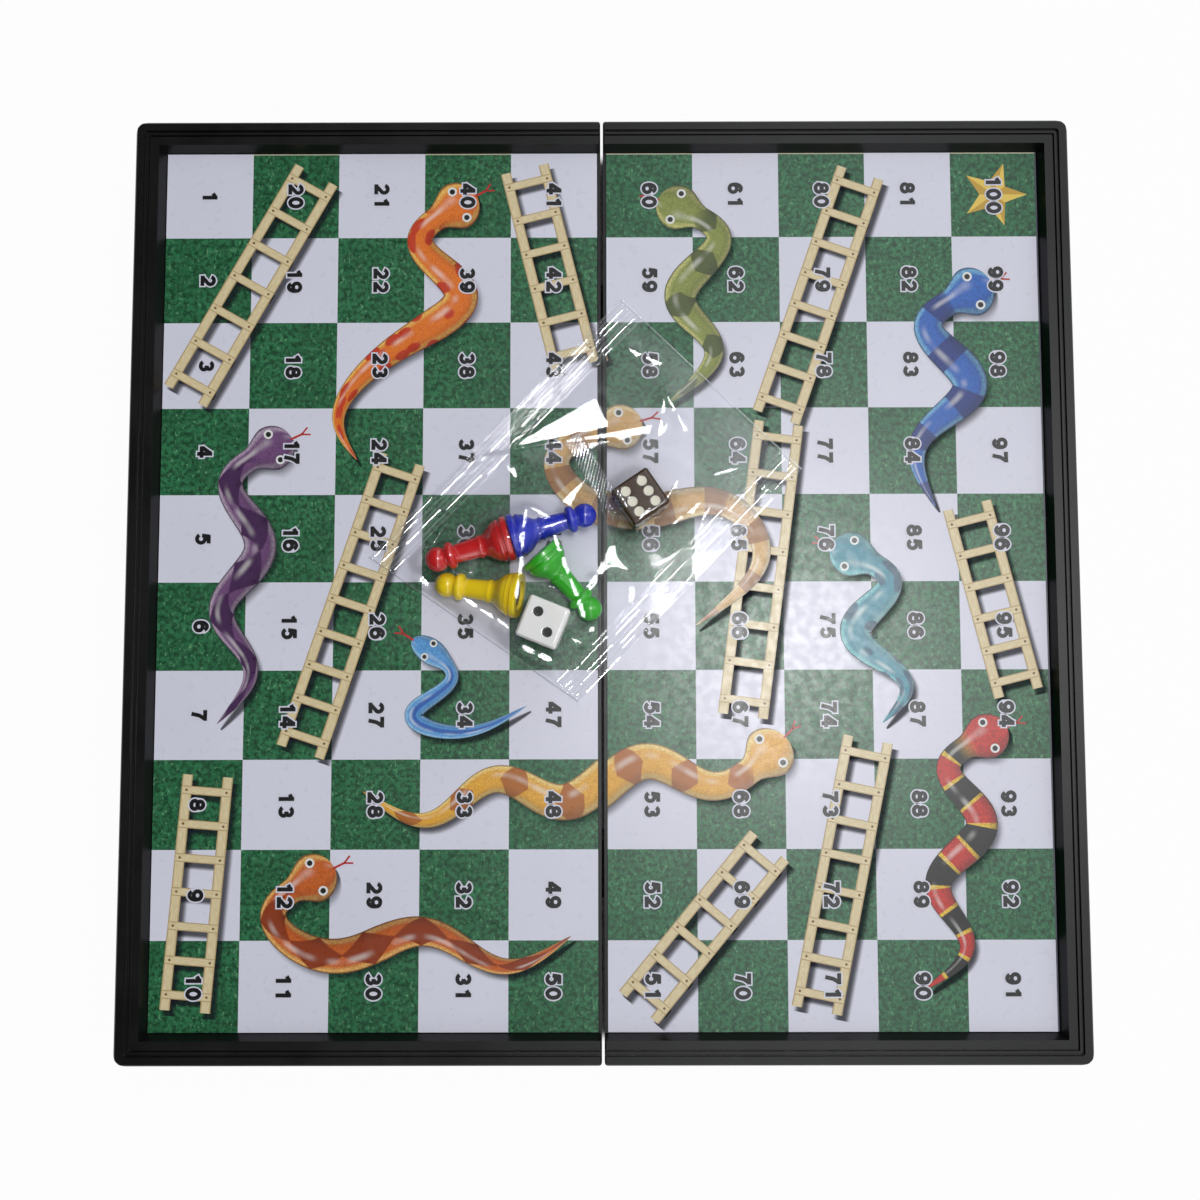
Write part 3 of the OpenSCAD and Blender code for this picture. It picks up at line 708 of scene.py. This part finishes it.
def snake_ink(name, look):
    paint = Paint(f"{name}_ink")
    length, side, _ = paint.split(paint.place("UV"))
    across = paint.math("ABSOLUTE", side)
    body = paint.step(length, 0.7 * HEAD_L / MM, 1.15 * HEAD_L / MM)
    marks = paint.times(pattern_mask(paint, look.pattern, length, across, look.wide), body)
    back = paint.mix(paint.step(across, 0.55, 0.85, 0.0, 0.85), look.back, look.edge)
    if look.pattern == "rings":
        wave = paint.math("COSINE", paint.times(length, math.tau / (MARK_PITCH * look.wide)))
        pale = paint.times(paint.step(wave, -0.32, -0.22), body)
        back = paint.mix(pale, look.back, look.edge)
    colour = paint.mix(marks, back, look.mark)
    scale_place = paint.join(length, paint.times(side, look.wide), 0)
    scales = paint.cells(scale_place, 1.15, "DISTANCE_TO_EDGE")
    colour = paint.mix(paint.step(scales, 0.0, 0.16, 0.4, 0.0), colour, look.mark)
    streak = paint.step(paint.math("ABSOLUTE", paint.math("ADD", side, 0.32)), 0.0, 0.3, 0.4, 0.0)
    broken = paint.step(paint.noise(paint.join(length, 0, 0), 0.12, 1), 0.4, 0.6)
    colour = paint.mix(paint.times(streak, broken), colour, (0.95, 0.93, 0.88))
    shade = paint.step(side, 0.2, 1.0, 0.0, 0.5)
    colour = paint.mix(shade, colour, tuple(0.25 * c for c in look.mark))
    rim = paint.step(across, 0.88, 0.97, 0.0, 0.8)
    paint.set("Base Color", paint.mix(rim, colour, tuple(0.35 * c for c in look.mark)))
    ink_gloss(paint)
    return paint.material


def snake_widths(at, length, wide):
    """Half widths from the snout, over a flat head and a thinner neck, to the tail."""
    cheek = 0.46 * HEAD_L
    head = HEAD_WIDER * wide
    neck = NECK_SHARE * wide
    snout = head * np.sqrt(np.clip(1 - (1 - at / cheek) ** 2, 0, 1))
    behind_cheek = np.clip((at - cheek) / (HEAD_L - cheek), 0, 1)
    jaw = neck + (head - neck) * (0.5 + 0.5 * np.cos(np.pi * behind_cheek))
    swell = np.clip((at - HEAD_L) / (0.3 * length), 0, 1)
    taper = np.clip((length - at) / (0.5 * length), 0, 1) ** 0.75
    body = (neck + (wide - neck) * (0.5 - 0.5 * np.cos(np.pi * swell))) * taper
    return np.where(at < cheek, snout, np.where(at < HEAD_L, jaw, body))


def add_eyes(line, look, inks, marks):
    along_head, apart = EYE_PLACE
    middle, _, way = along(line, np.array([along_head * HEAD_L]))
    size = EYE_R * (EYE_LEAST + (1 - EYE_LEAST) * look.wide / USUAL_WIDE)
    for sign in (-1, 1):
        eye = middle[0] + sign * way[0] * apart * HEAD_WIDER * look.wide * MM
        marks.disc(eye, size, LAYER["mark"], inks["eye_white"])
        marks.disc(eye, PUPIL_SHARE * size, LAYER["glint"], inks["eye_black"])


def add_tongue(snout, way, ink, marks):
    length, half, root = TONGUE
    fork = snout + way * length
    marks.board(snout - way * root, fork, half, LAYER["mark"], ink)
    length, half, root = TIP
    for sign in (-1, 1):
        tip = fork + Matrix.Rotation(sign * TIP_TURN, 2) @ way * length
        marks.board(fork - way * root, tip, half, LAYER["glint"], ink)


def add_snake(name, look, inks, layers):
    line = smooth_line([on_print(*square) for square in look.path])
    length = line_length(line)
    snout = 2 * HEAD_L * np.linspace(0, 0.45, SNOUT_POINTS) ** 2
    at = np.unique([*snout, *np.arange(0.45 * HEAD_L, length, BODY_STEP), length])
    points, tangents, normals = along(line, at)
    widths = snake_widths(at, length, look.wide * MM)
    layers["snakes"].ribbon(points, normals, at, widths, LAYER["snake"], snake_ink(name, look))
    wider, more = SNAKE_SHADOW
    shaded = points + np.array(SHADOW_SHIFT)
    layers["shadows"].ribbon(shaded, normals, at, wider * widths + more, LAYER["shadow"], inks["shadow"])
    add_eyes(line, look, inks, layers["marks"])
    add_tongue(Vector(points[0]), -Vector(tangents[0]), inks["tongue_red"], layers["marks"])


def add_ladder(foot, top, inks, layers):
    start = on_print(*foot)
    end = on_print(*top)
    way = (end - start).normalized()
    side = Vector((-way.y, way.x))
    out = side * LADDER_W / 2
    for sign in (-1, 1):
        ends = (start + sign * out - way * RAIL_END, end + sign * out + way * RAIL_END)
        layers["ladders"].board(*ends, RAIL_HALF, LAYER["ladder"], inks["wood"])
        shaded = [p + SHADOW_SHIFT for p in ends]
        layers["shadows"].board(*shaded, RAIL_SHADOW_HALF, LAYER["shadow"], inks["shadow"])
    count = round((end - start).length / RUNG_PITCH)
    reach = out + side * RUNG_END
    for i in range(count + 1):
        middle = start + (end - start) * i / count
        layers["ladders"].board(middle - reach, middle + reach, RUNG_HALF, LAYER["rung"], inks["wood"])
        shaded = [middle - out + SHADOW_SHIFT, middle + out + SHADOW_SHIFT]
        layers["shadows"].board(*shaded, RUNG_SHADOW_HALF, LAYER["rung_shadow"], inks["shadow"])
        for sign in (-1, 1):
            layers["marks"].disc(middle + sign * out, NAIL_R, LAYER["nail"], inks["nail"], NAIL_SIDES)


def add_star(inks, marks):
    """A plain star on the last square, in two tones of gold."""
    centre = on_print(*STAR_AT)
    corners = []
    for i in range(STAR_CORNERS):
        turn = math.tau * i / STAR_CORNERS
        reach = STAR_R * (STAR_WAIST if i % 2 else 1)
        corners.append(centre + Vector((math.cos(turn), math.sin(turn))) * reach)
    for i, corner in enumerate(corners):
        shape = [centre, corner, corners[(i + 1) % STAR_CORNERS]]
        tone = inks["star_gold"] if i % 2 else inks["star_shade"]
        marks.add([tuple(p) for p in shape], [(0, 1, 2)], [(0, 0)] * 3, LAYER["ladder"], tone)


def make_art():
    inks = {name: plain_ink(name, colour) for name, colour in PLAIN_INKS.items()}
    inks["wood"] = wood_ink()
    inks["shadow"] = shadow_ink()
    layers = {name: Print(name) for name in ("shadows", "ladders", "snakes", "marks")}
    for foot, top in LADDERS:
        add_ladder(foot, top, inks, layers)
    for name, look in SNAKES.items():
        add_snake(name, look, inks, layers)
    add_star(inks, layers["marks"])
    for layer in layers.values():
        layer.lay()


# Clear packet, in millimetres along it (u) and across it (v)
PACKET_TURN = math.radians(46)
PACKET_FROM = np.array((-23.7, 11))
U_WAY = np.array((math.cos(PACKET_TURN), math.sin(PACKET_TURN)))
V_WAY = np.array((math.sin(PACKET_TURN), -math.cos(PACKET_TURN)))
PIECE_NODES = ["red_pawn", "blue_pawn", "green_pawn", "yellow_pawn", "white_die", "brown_die"]
FILM_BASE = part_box("packet_front_film")[0].z / MM
FILM_CLEAR = 0.12
FILM_STEP = 0.3
# Height over the film from which the pieces under it are looked for
CAST_FROM = 40
# The film's sag beside a piece: its length, its rounds of smoothing, and the weight that bends it down
SAG_LENGTH = 4.5
SAG_ROUNDS = 800
FILM_WEIGHT = 0.05
# Crimped bands: their width, their ridges, and the part of each ridge that breaks up into steps, in dashes
CRIMP_W = 8
CRIMP_PITCH = 1.25
CRIMP_POINTS = 16
CRIMP_RISE = 0.13
CRIMP_STEP = 0.8
CRIMP_GLINT = (0.31, 0.69)
DASH_WAVES = ((0.31, 2.4), (0.12, 4.1))
DASH_LEVEL = 0.15
# Folded sides: the bead along them and the thin line at their edge
FOLD_EDGE = 0.9
FOLD_BEAD = 0.22
FOLD_LINE = 0.28
# Fine wrinkles all over: how many run across each other, their height and their least and greatest spacing
WRINKLES = 7
WRINKLE_RISE = 0.012
WRINKLE_PITCH = (9, 19)
# Facets glint where their slope turns the key lamp's light up to the camera. That slope grows with the
# distance from the place where a level sheet does so, as in a shallow bowl
GLINT_AT = np.array((44, -15.5))
GLINT_BEND = 0.00189
FACET_EDGE = 0.2
# Pointed facets of the large pleat and the small one beside the seal, by their corners
BLADES = [
    [(14.6, -18.7), (42.8, -10.6), (39.4, -2.6)], [(14.7, -18.6), (38.6, -1.2), (36.7, 0.4)],
    [(14.6, -18.6), (47.6, 5.0), (45.8, 6.3)], [(25.3, 2.6), (16.2, 2.3), (16.9, 5.3)],
]
# Narrow facets along creases: both ends and the half width
CREASES = [
    (8.4, -2.1, -10.8, 13.0, 0.7), (8.9, -1.7, 10.9, 4.5, 0.5), (8.2, 7.7, -2.0, 29.0, 0.7),
    (-19.9, 1.7, -16.9, 16.5, 0.6), (-18.5, 21.2, -15.5, 30.0, 0.9), (18.0, 20.2, 4.0, 24.2, 1.1),
    (41.6, 20.7, 34.5, 22.5, 0.45), (55.8, 2.3, 46.7, 8.8, 0.35), (56.1, 2.7, 53.0, 13.0, 0.35),
    (13.0, -15.2, 12.9, -10.7, 0.4), (25.6, 21.2, 29.7, 20.9, 0.45), (-8.1, 29.0, -6.9, 32.6, 0.4),
    (-24.0, -10.8, -23.7, -7.0, 0.9), (-3.4, 30.8, -1.6, 32.2, 0.9), (-21.0, -12.5, -10.0, -15.5, 0.4),
    (31.0, 27.5, 42.0, 29.0, 0.45), (58.0, -14.0, 61.5, -4.0, 0.4), (49.0, 26.0, 55.0, 29.5, 0.4),
]
CREASE_PIECE = 7
# Back seal: its middle, direction, half width, half length, height, edges and hatching
SEAL_AT = (27.4, 4)
SEAL_TURN = math.radians(14.5)
SEAL_HALF = 2.6
SEAL_REACH = 12.5
SEAL_RISE = 0.12
SEAL_EDGE = 0.4
SEAL_FADE = 0.3
SEAL_HATCH = 1.15
HATCH_DEPTH = 0.016 * MM
# How much of the film shows, in shares that add up: at a slant, as haze, and on seal, bands and folds
GLANCE_SHARE = 0.5
HAZE_SHARE = (0.022, 0.042)
SEAL_SHARE = 0.03
HATCH_SHARE = 0.34
BAND_SHARE = 0.03
FOLD_SHARE = 0.3
# Lower film: the step of its grid, its place under the upper film, and its ripple
LOWER_STEP = 1.6
LOWER_DROP = 0.16
RIPPLE_RISE = 0.08
RIPPLE_RATES = (0.35, 0.28)


def packet_outline():
    """The sides' own v, and u at the near and far end of each of them, from the lower film's corners."""
    plan = [np.array(v.co[:2]) / MM - PACKET_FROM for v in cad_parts["packet_back_film"].data.vertices]
    corners = [(p @ U_WAY, p @ V_WAY) for p in plan]
    low = min(v for _, v in corners)
    high = max(v for _, v in corners)
    ends = []
    for side in (low, high):
        reach = [u for u, v in corners if abs(v - side) < CRIMP_W]
        ends.append((min(reach), max(reach)))
    return low, high, ends


class FilmGrid:
    """Points of a film over the packet's plan, by shares along and across it."""

    def __init__(self, along_shares, across_shares):
        low, high, (low_ends, high_ends) = packet_outline()
        self.shares = along_shares, across_shares
        a, b = np.meshgrid(along_shares, across_shares, indexing="ij")
        near, far = (first + (last - first) * b for first, last in zip(low_ends, high_ends))
        self.u = near + (far - near) * a
        self.v = low + (high - low) * b
        self.from_end = np.minimum(self.u - near, far - self.u)
        self.from_side = np.minimum(self.v - low, high - self.v)
        self.x, self.y = (PACKET_FROM[k] + U_WAY[k] * self.u + V_WAY[k] * self.v for k in range(2))
        from_glint = self.x - GLINT_AT[0], self.y - GLINT_AT[1]
        self.bowl = GLINT_BEND / 2 * (from_glint[0] ** 2 + from_glint[1] ** 2)

    def room(self, tree):
        """Height that the pieces need under the film at each point."""
        above = (FILM_BASE + CAST_FROM) * MM
        heights = np.zeros(self.u.shape)
        for at in np.ndindex(self.u.shape):
            hit = tree.ray_cast(Vector((self.x[at] * MM, self.y[at] * MM, above)), Vector((0, 0, -1)))[0]
            if hit is not None:
                heights[at] = max(hit.z / MM - FILM_BASE + FILM_CLEAR, 0)
        return heights

    def outside(self, corners):
        """Distance out of a convex outline, less than nothing inside it."""
        turn = sum(p[0] * q[1] - q[0] * p[1] for p, q in zip(corners, [*corners[1:], corners[0]]))
        distance = np.full(self.u.shape, -np.inf)
        for p, q in zip(corners, [*corners[1:], corners[0]]):
            way = np.array(q) - p
            out = np.array((way[1], -way[0])) * np.sign(turn) / np.linalg.norm(way)
            distance = np.maximum(distance, (self.u - p[0]) * out[0] + (self.v - p[1]) * out[1])
        return distance

    def facet(self, corners, skin, room):
        """Where a facet is, and its heights at the glinting slope, near the skin but over the pieces."""
        inside = self.outside(corners) < FACET_EDGE
        rest = max(np.median((skin - self.bowl)[inside]), (room - self.bowl)[inside].max())
        return inside, self.bowl + rest

    def resample(self, heights, other):
        """Heights on another grid of shares, straight between this one's points."""
        wide = np.stack([np.interp(other.shares[1], self.shares[1], row) for row in heights])
        return np.stack([np.interp(other.shares[0], self.shares[0], column) for column in wide.T], axis=1)

    def mesh(self, name, heights, material):
        rows, columns = self.u.shape
        points = np.stack([self.x, self.y, FILM_BASE + heights], axis=-1).reshape(-1, 3) * MM
        faces = [
            (i * columns + j, i * columns + j + 1, (i + 1) * columns + j + 1, (i + 1) * columns + j)
            for i in range(rows - 1) for j in range(columns - 1)
        ]
        uvs = np.stack([self.u, self.v], axis=-1).reshape(-1, 2)
        return mesh_object(name, points, faces, material, uvs, smooth=True)


def pieces_tree():
    points, faces = [], []
    for name in PIECE_NODES:
        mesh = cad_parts[name].data
        start = len(points)
        points.extend(v.co.copy() for v in mesh.vertices)
        faces.extend([start + i for i in p.vertices] for p in mesh.polygons)
    return BVHTree.FromPolygons(points, faces)


def crease_outlines():
    """Pointed strips along each crease, in pieces short enough to rest on what is near them."""
    for u0, v0, u1, v1, half in CREASES:
        start, end = np.array((u0, v0)), np.array((u1, v1))
        long = np.linalg.norm(end - start)
        side = np.array((start[1] - end[1], end[0] - start[0])) / long * half
        count = math.ceil(long / CREASE_PIECE)
        for i in range(count):
            first = start + (end - start) * i / count
            last = start + (end - start) * (i + 1) / count
            inner = [first + (last - first) * share for share in (0.2, 0.8)]
            yield [first, inner[0] + side, inner[1] + side, last, inner[1] - side, inner[0] - side]


def wrinkled(grid):
    """Low straight wrinkles that cross each other."""
    draw = random.Random(7)
    total = np.zeros(grid.u.shape)
    for _ in range(WRINKLES):
        turn = draw.uniform(0, math.pi)
        pitch = draw.uniform(*WRINKLE_PITCH)
        share = (grid.u * math.cos(turn) + grid.v * math.sin(turn)) / pitch + draw.random()
        total += WRINKLE_RISE * np.abs(2 * (share % 1) - 1)
    return total


def sag(heights, room, held):
    """A slack skin over the room that is needed, which keeps its height where it is held."""
    fall = 1 + (FILM_STEP / SAG_LENGTH) ** 2 / 4
    drop = FILM_WEIGHT * FILM_STEP ** 2 / 4
    heights = np.where(held, heights, np.maximum(heights, room))
    for _ in range(SAG_ROUNDS):
        beside = heights[:-2, 1:-1] + heights[2:, 1:-1] + heights[1:-1, :-2] + heights[1:-1, 2:]
        inner = np.maximum(room[1:-1, 1:-1], beside / (4 * fall) - drop)
        heights[1:-1, 1:-1] = np.where(held[1:-1, 1:-1], heights[1:-1, 1:-1], inner)
    return heights


def seal_place(u, v):
    """Lengths across and along the back seal."""
    across = (u - SEAL_AT[0]) * math.cos(SEAL_TURN) + (v - SEAL_AT[1]) * math.sin(SEAL_TURN)
    return across, (v - SEAL_AT[1]) * math.cos(SEAL_TURN) - (u - SEAL_AT[0]) * math.sin(SEAL_TURN)


def crimped(grid):
    """Ridges along both sealed bands, whose tops glint in dashes where they break up into small steps."""
    count = np.floor(grid.v / CRIMP_PITCH)
    phase = grid.v / CRIMP_PITCH - count
    ridge = CRIMP_RISE * (0.5 - 0.5 * np.cos(math.tau * phase))
    dash = sum(np.sin(rate * grid.u + turn * count) for rate, turn in DASH_WAVES) > DASH_LEVEL
    top = (phase > CRIMP_GLINT[0]) & (phase < CRIMP_GLINT[1])
    steps = CRIMP_RISE + grid.bowl % CRIMP_STEP
    return np.where(dash & top, steps, ridge) * (grid.from_side < CRIMP_W)


def sealed_bands(paint, v):
    """Where the film is crimped, along both ends of the packet."""
    low, high, _ = packet_outline()
    from_middle = paint.math("ABSOLUTE", paint.math("SUBTRACT", v, (low + high) / 2))
    return paint.math("GREATER_THAN", from_middle, (high - low) / 2 - CRIMP_W)


def fold_lines(paint, u, v):
    """Thin lines along the two folded sides, by the distance to the nearer one."""
    low, high, ends = packet_outline()
    share = paint.math("DIVIDE", paint.math("SUBTRACT", v, low), high - low)
    inner = []
    for first, last, sign in ((ends[0][0], ends[1][0], 1), (ends[0][1], ends[1][1], -1)):
        edge = paint.math("ADD", paint.times(share, last - first), first)
        inner.append(paint.times(paint.math("SUBTRACT", u, edge), sign))
    return paint.step(paint.math("MINIMUM", *inner), FOLD_LINE, 0.6 * FOLD_LINE)


def seal_pattern(paint, u, v):
    """Where the back seal is, and the waves of its hatching."""
    from_seal = paint.math("SUBTRACT", u, SEAL_AT[0]), paint.math("SUBTRACT", v, SEAL_AT[1])
    masks, waves = [], []
    for first, second, sign, reach in ((0, 1, "ADD", SEAL_HALF), (1, 0, "SUBTRACT", SEAL_REACH)):
        straight = paint.times(from_seal[first], math.cos(SEAL_TURN))
        slanted = paint.times(from_seal[second], math.sin(SEAL_TURN))
        place = paint.math(sign, straight, slanted)
        masks.append(paint.step(paint.math("ABSOLUTE", place), reach, reach - SEAL_FADE))
        waves.append(paint.math("SINE", paint.times(place, math.tau / SEAL_HATCH)))
    seal = paint.times(*masks)
    return seal, paint.times(paint.times(*waves), seal)


def film_material():
    paint = Paint("clear_film", Base_Color=(0.93, 0.95, 0.97), Metallic=0.7, Roughness=0.06)
    u, v, _ = paint.split(paint.place("UV"))
    seal, hatch = seal_pattern(paint, u, v)
    weight = paint.node("ShaderNodeLayerWeight", 0.2)
    haze = paint.noise(paint.join(u, v, 0), 0.09, 3)
    alpha = paint.times(weight.outputs["Fresnel"], GLANCE_SHARE)
    shares = [
        paint.step(haze, 0.3, 0.7, *HAZE_SHARE),
        paint.times(seal, SEAL_SHARE),
        paint.step(hatch, 0.15, 0.5, 0.0, HATCH_SHARE),
        paint.times(sealed_bands(paint, v), BAND_SHARE),
        paint.times(fold_lines(paint, u, v), FOLD_SHARE),
    ]
    for share in shares:
        alpha = paint.math("ADD", alpha, share)
    paint.set("Alpha", alpha)
    paint.bump(hatch, HATCH_DEPTH)
    return paint.material


def even_shares(length, step):
    return np.linspace(0, 1, math.ceil(length / step) + 1)


def upper_film(tree, length, width):
    """Heights of the draped film over its base, on a grid that is finer in the sealed bands."""
    even = FilmGrid(even_shares(length, FILM_STEP), even_shares(width, FILM_STEP))
    held = (even.from_side < CRIMP_W) | (even.from_end < FOLD_EDGE)
    pieces = even.room(tree)
    room = np.maximum(pieces, wrinkled(even))
    skin = sag(np.zeros(room.shape), room, held)
    folded = skin.copy()
    for corners in [*BLADES, *crease_outlines()]:
        inside, heights = even.facet(corners, skin, pieces)
        folded = np.where(inside, heights, folded)
        held = held | inside
    band = CRIMP_W / width
    bands = band * even_shares(CRIMP_W, CRIMP_PITCH / CRIMP_POINTS)
    inner = band + (1 - 2 * band) * even_shares(width - 2 * CRIMP_W, FILM_STEP)
    fine = FilmGrid(even_shares(length, FILM_STEP), np.unique(np.concatenate([bands, inner, 1 - bands])))
    heights = even.resample(sag(folded, room, held), fine) + crimped(fine)
    across, along_seal = seal_place(fine.u, fine.v)
    inside = np.minimum(SEAL_HALF - np.abs(across), SEAL_REACH - np.abs(along_seal))
    heights += SEAL_RISE * np.clip(inside / SEAL_EDGE, 0, 1)
    heights += FOLD_BEAD * np.clip(1 - np.abs(fine.from_end - FOLD_EDGE / 2) / (FOLD_EDGE / 2), 0, 1)
    return fine, heights


def make_packet():
    low, high, ((near, far), _) = packet_outline()
    clear = film_material()
    fine, heights = upper_film(pieces_tree(), far - near, high - low)
    front = fine.mesh("packet_upper_film", heights, clear)
    flat = FilmGrid(even_shares(far - near, LOWER_STEP), even_shares(high - low, LOWER_STEP))
    ripple = RIPPLE_RISE * np.sin(flat.u * RIPPLE_RATES[0]) * np.sin(flat.v * RIPPLE_RATES[1] + 1)
    back = flat.mesh("packet_lower_film", ripple - LOWER_DROP, clear)
    for piece, node in ((front, "packet_front_film"), (back, "packet_back_film")):
        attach(piece, "packet")
        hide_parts(node)


# Rounded edges of the moulded parts, and the deep and bright tone of each colour
CASE_ROUND = 0.12 * MM
DIE_ROUND = 0.3 * MM
PAWN_TONES = {
    "red": ((0.56, 0.006, 0.008), (0.68, 0.012, 0.014)),
    "blue": ((0.008, 0.02, 0.45), (0.014, 0.034, 0.6)),
    "green": ((0.02, 0.42, 0.006), (0.034, 0.52, 0.012)),
    "yellow": ((0.88, 0.64, 0.002), (0.94, 0.72, 0.004)),
}
WHITE_TONES = (0.83, 0.82, 0.8), (0.88, 0.875, 0.86)
BROWN_TONES = (0.04, 0.015, 0.002), (0.062, 0.025, 0.004)
BROWN_COAT = 0.05
BROWN_SPECULAR = 0.2


def dress_case():
    cases = ["left_case", "right_case"]
    dress(cases, case_plastic())
    soften(cases, CASE_ROUND)
    dress(["top_hinge_link", "bottom_hinge_link"], link_plastic())
    dress(["left_steel_plate", "right_steel_plate"], steel("plate_steel", (0.56, 0.57, 0.58), (1, 0.02, 1)))
    dress(["left_hinge_pins", "right_hinge_pins"], steel("pin_steel", (0.62, 0.63, 0.64), (1, 0.05, 1)))
    black = ferrite()
    dress(["left_closure_magnets", "right_closure_magnets"], black)
    dress([f"{colour}_pawn_magnet" for colour in PAWN_TONES], black)


def dress_pieces():
    for colour, tones in PAWN_TONES.items():
        dress([f"{colour}_pawn"], gloss_plastic(f"{colour}_plastic", *tones))
    dress(["white_die"], gloss_plastic("white_plastic", *WHITE_TONES))
    dress(["brown_die"], gloss_plastic("brown_plastic", *BROWN_TONES, BROWN_COAT, BROWN_SPECULAR))
    soften(["white_die", "brown_die"], DIE_ROUND)
    dress(["white_die_pips"], spot_paint("black_paint", (0.004, 0.004, 0.004), (0.009, 0.009, 0.009)))
    dress(["brown_die_pips"], spot_paint("white_paint", (0.76, 0.73, 0.6), (0.84, 0.81, 0.69)))


bpy.context.scene.view_settings.view_transform = "Standard"
make_camera()
make_stage()
make_world()
for lamp_name, lamp_values in LAMPS.items():
    make_lamp(lamp_name, *lamp_values)
dress_case()
dress_pieces()
make_sheets()
make_art()
make_packet()
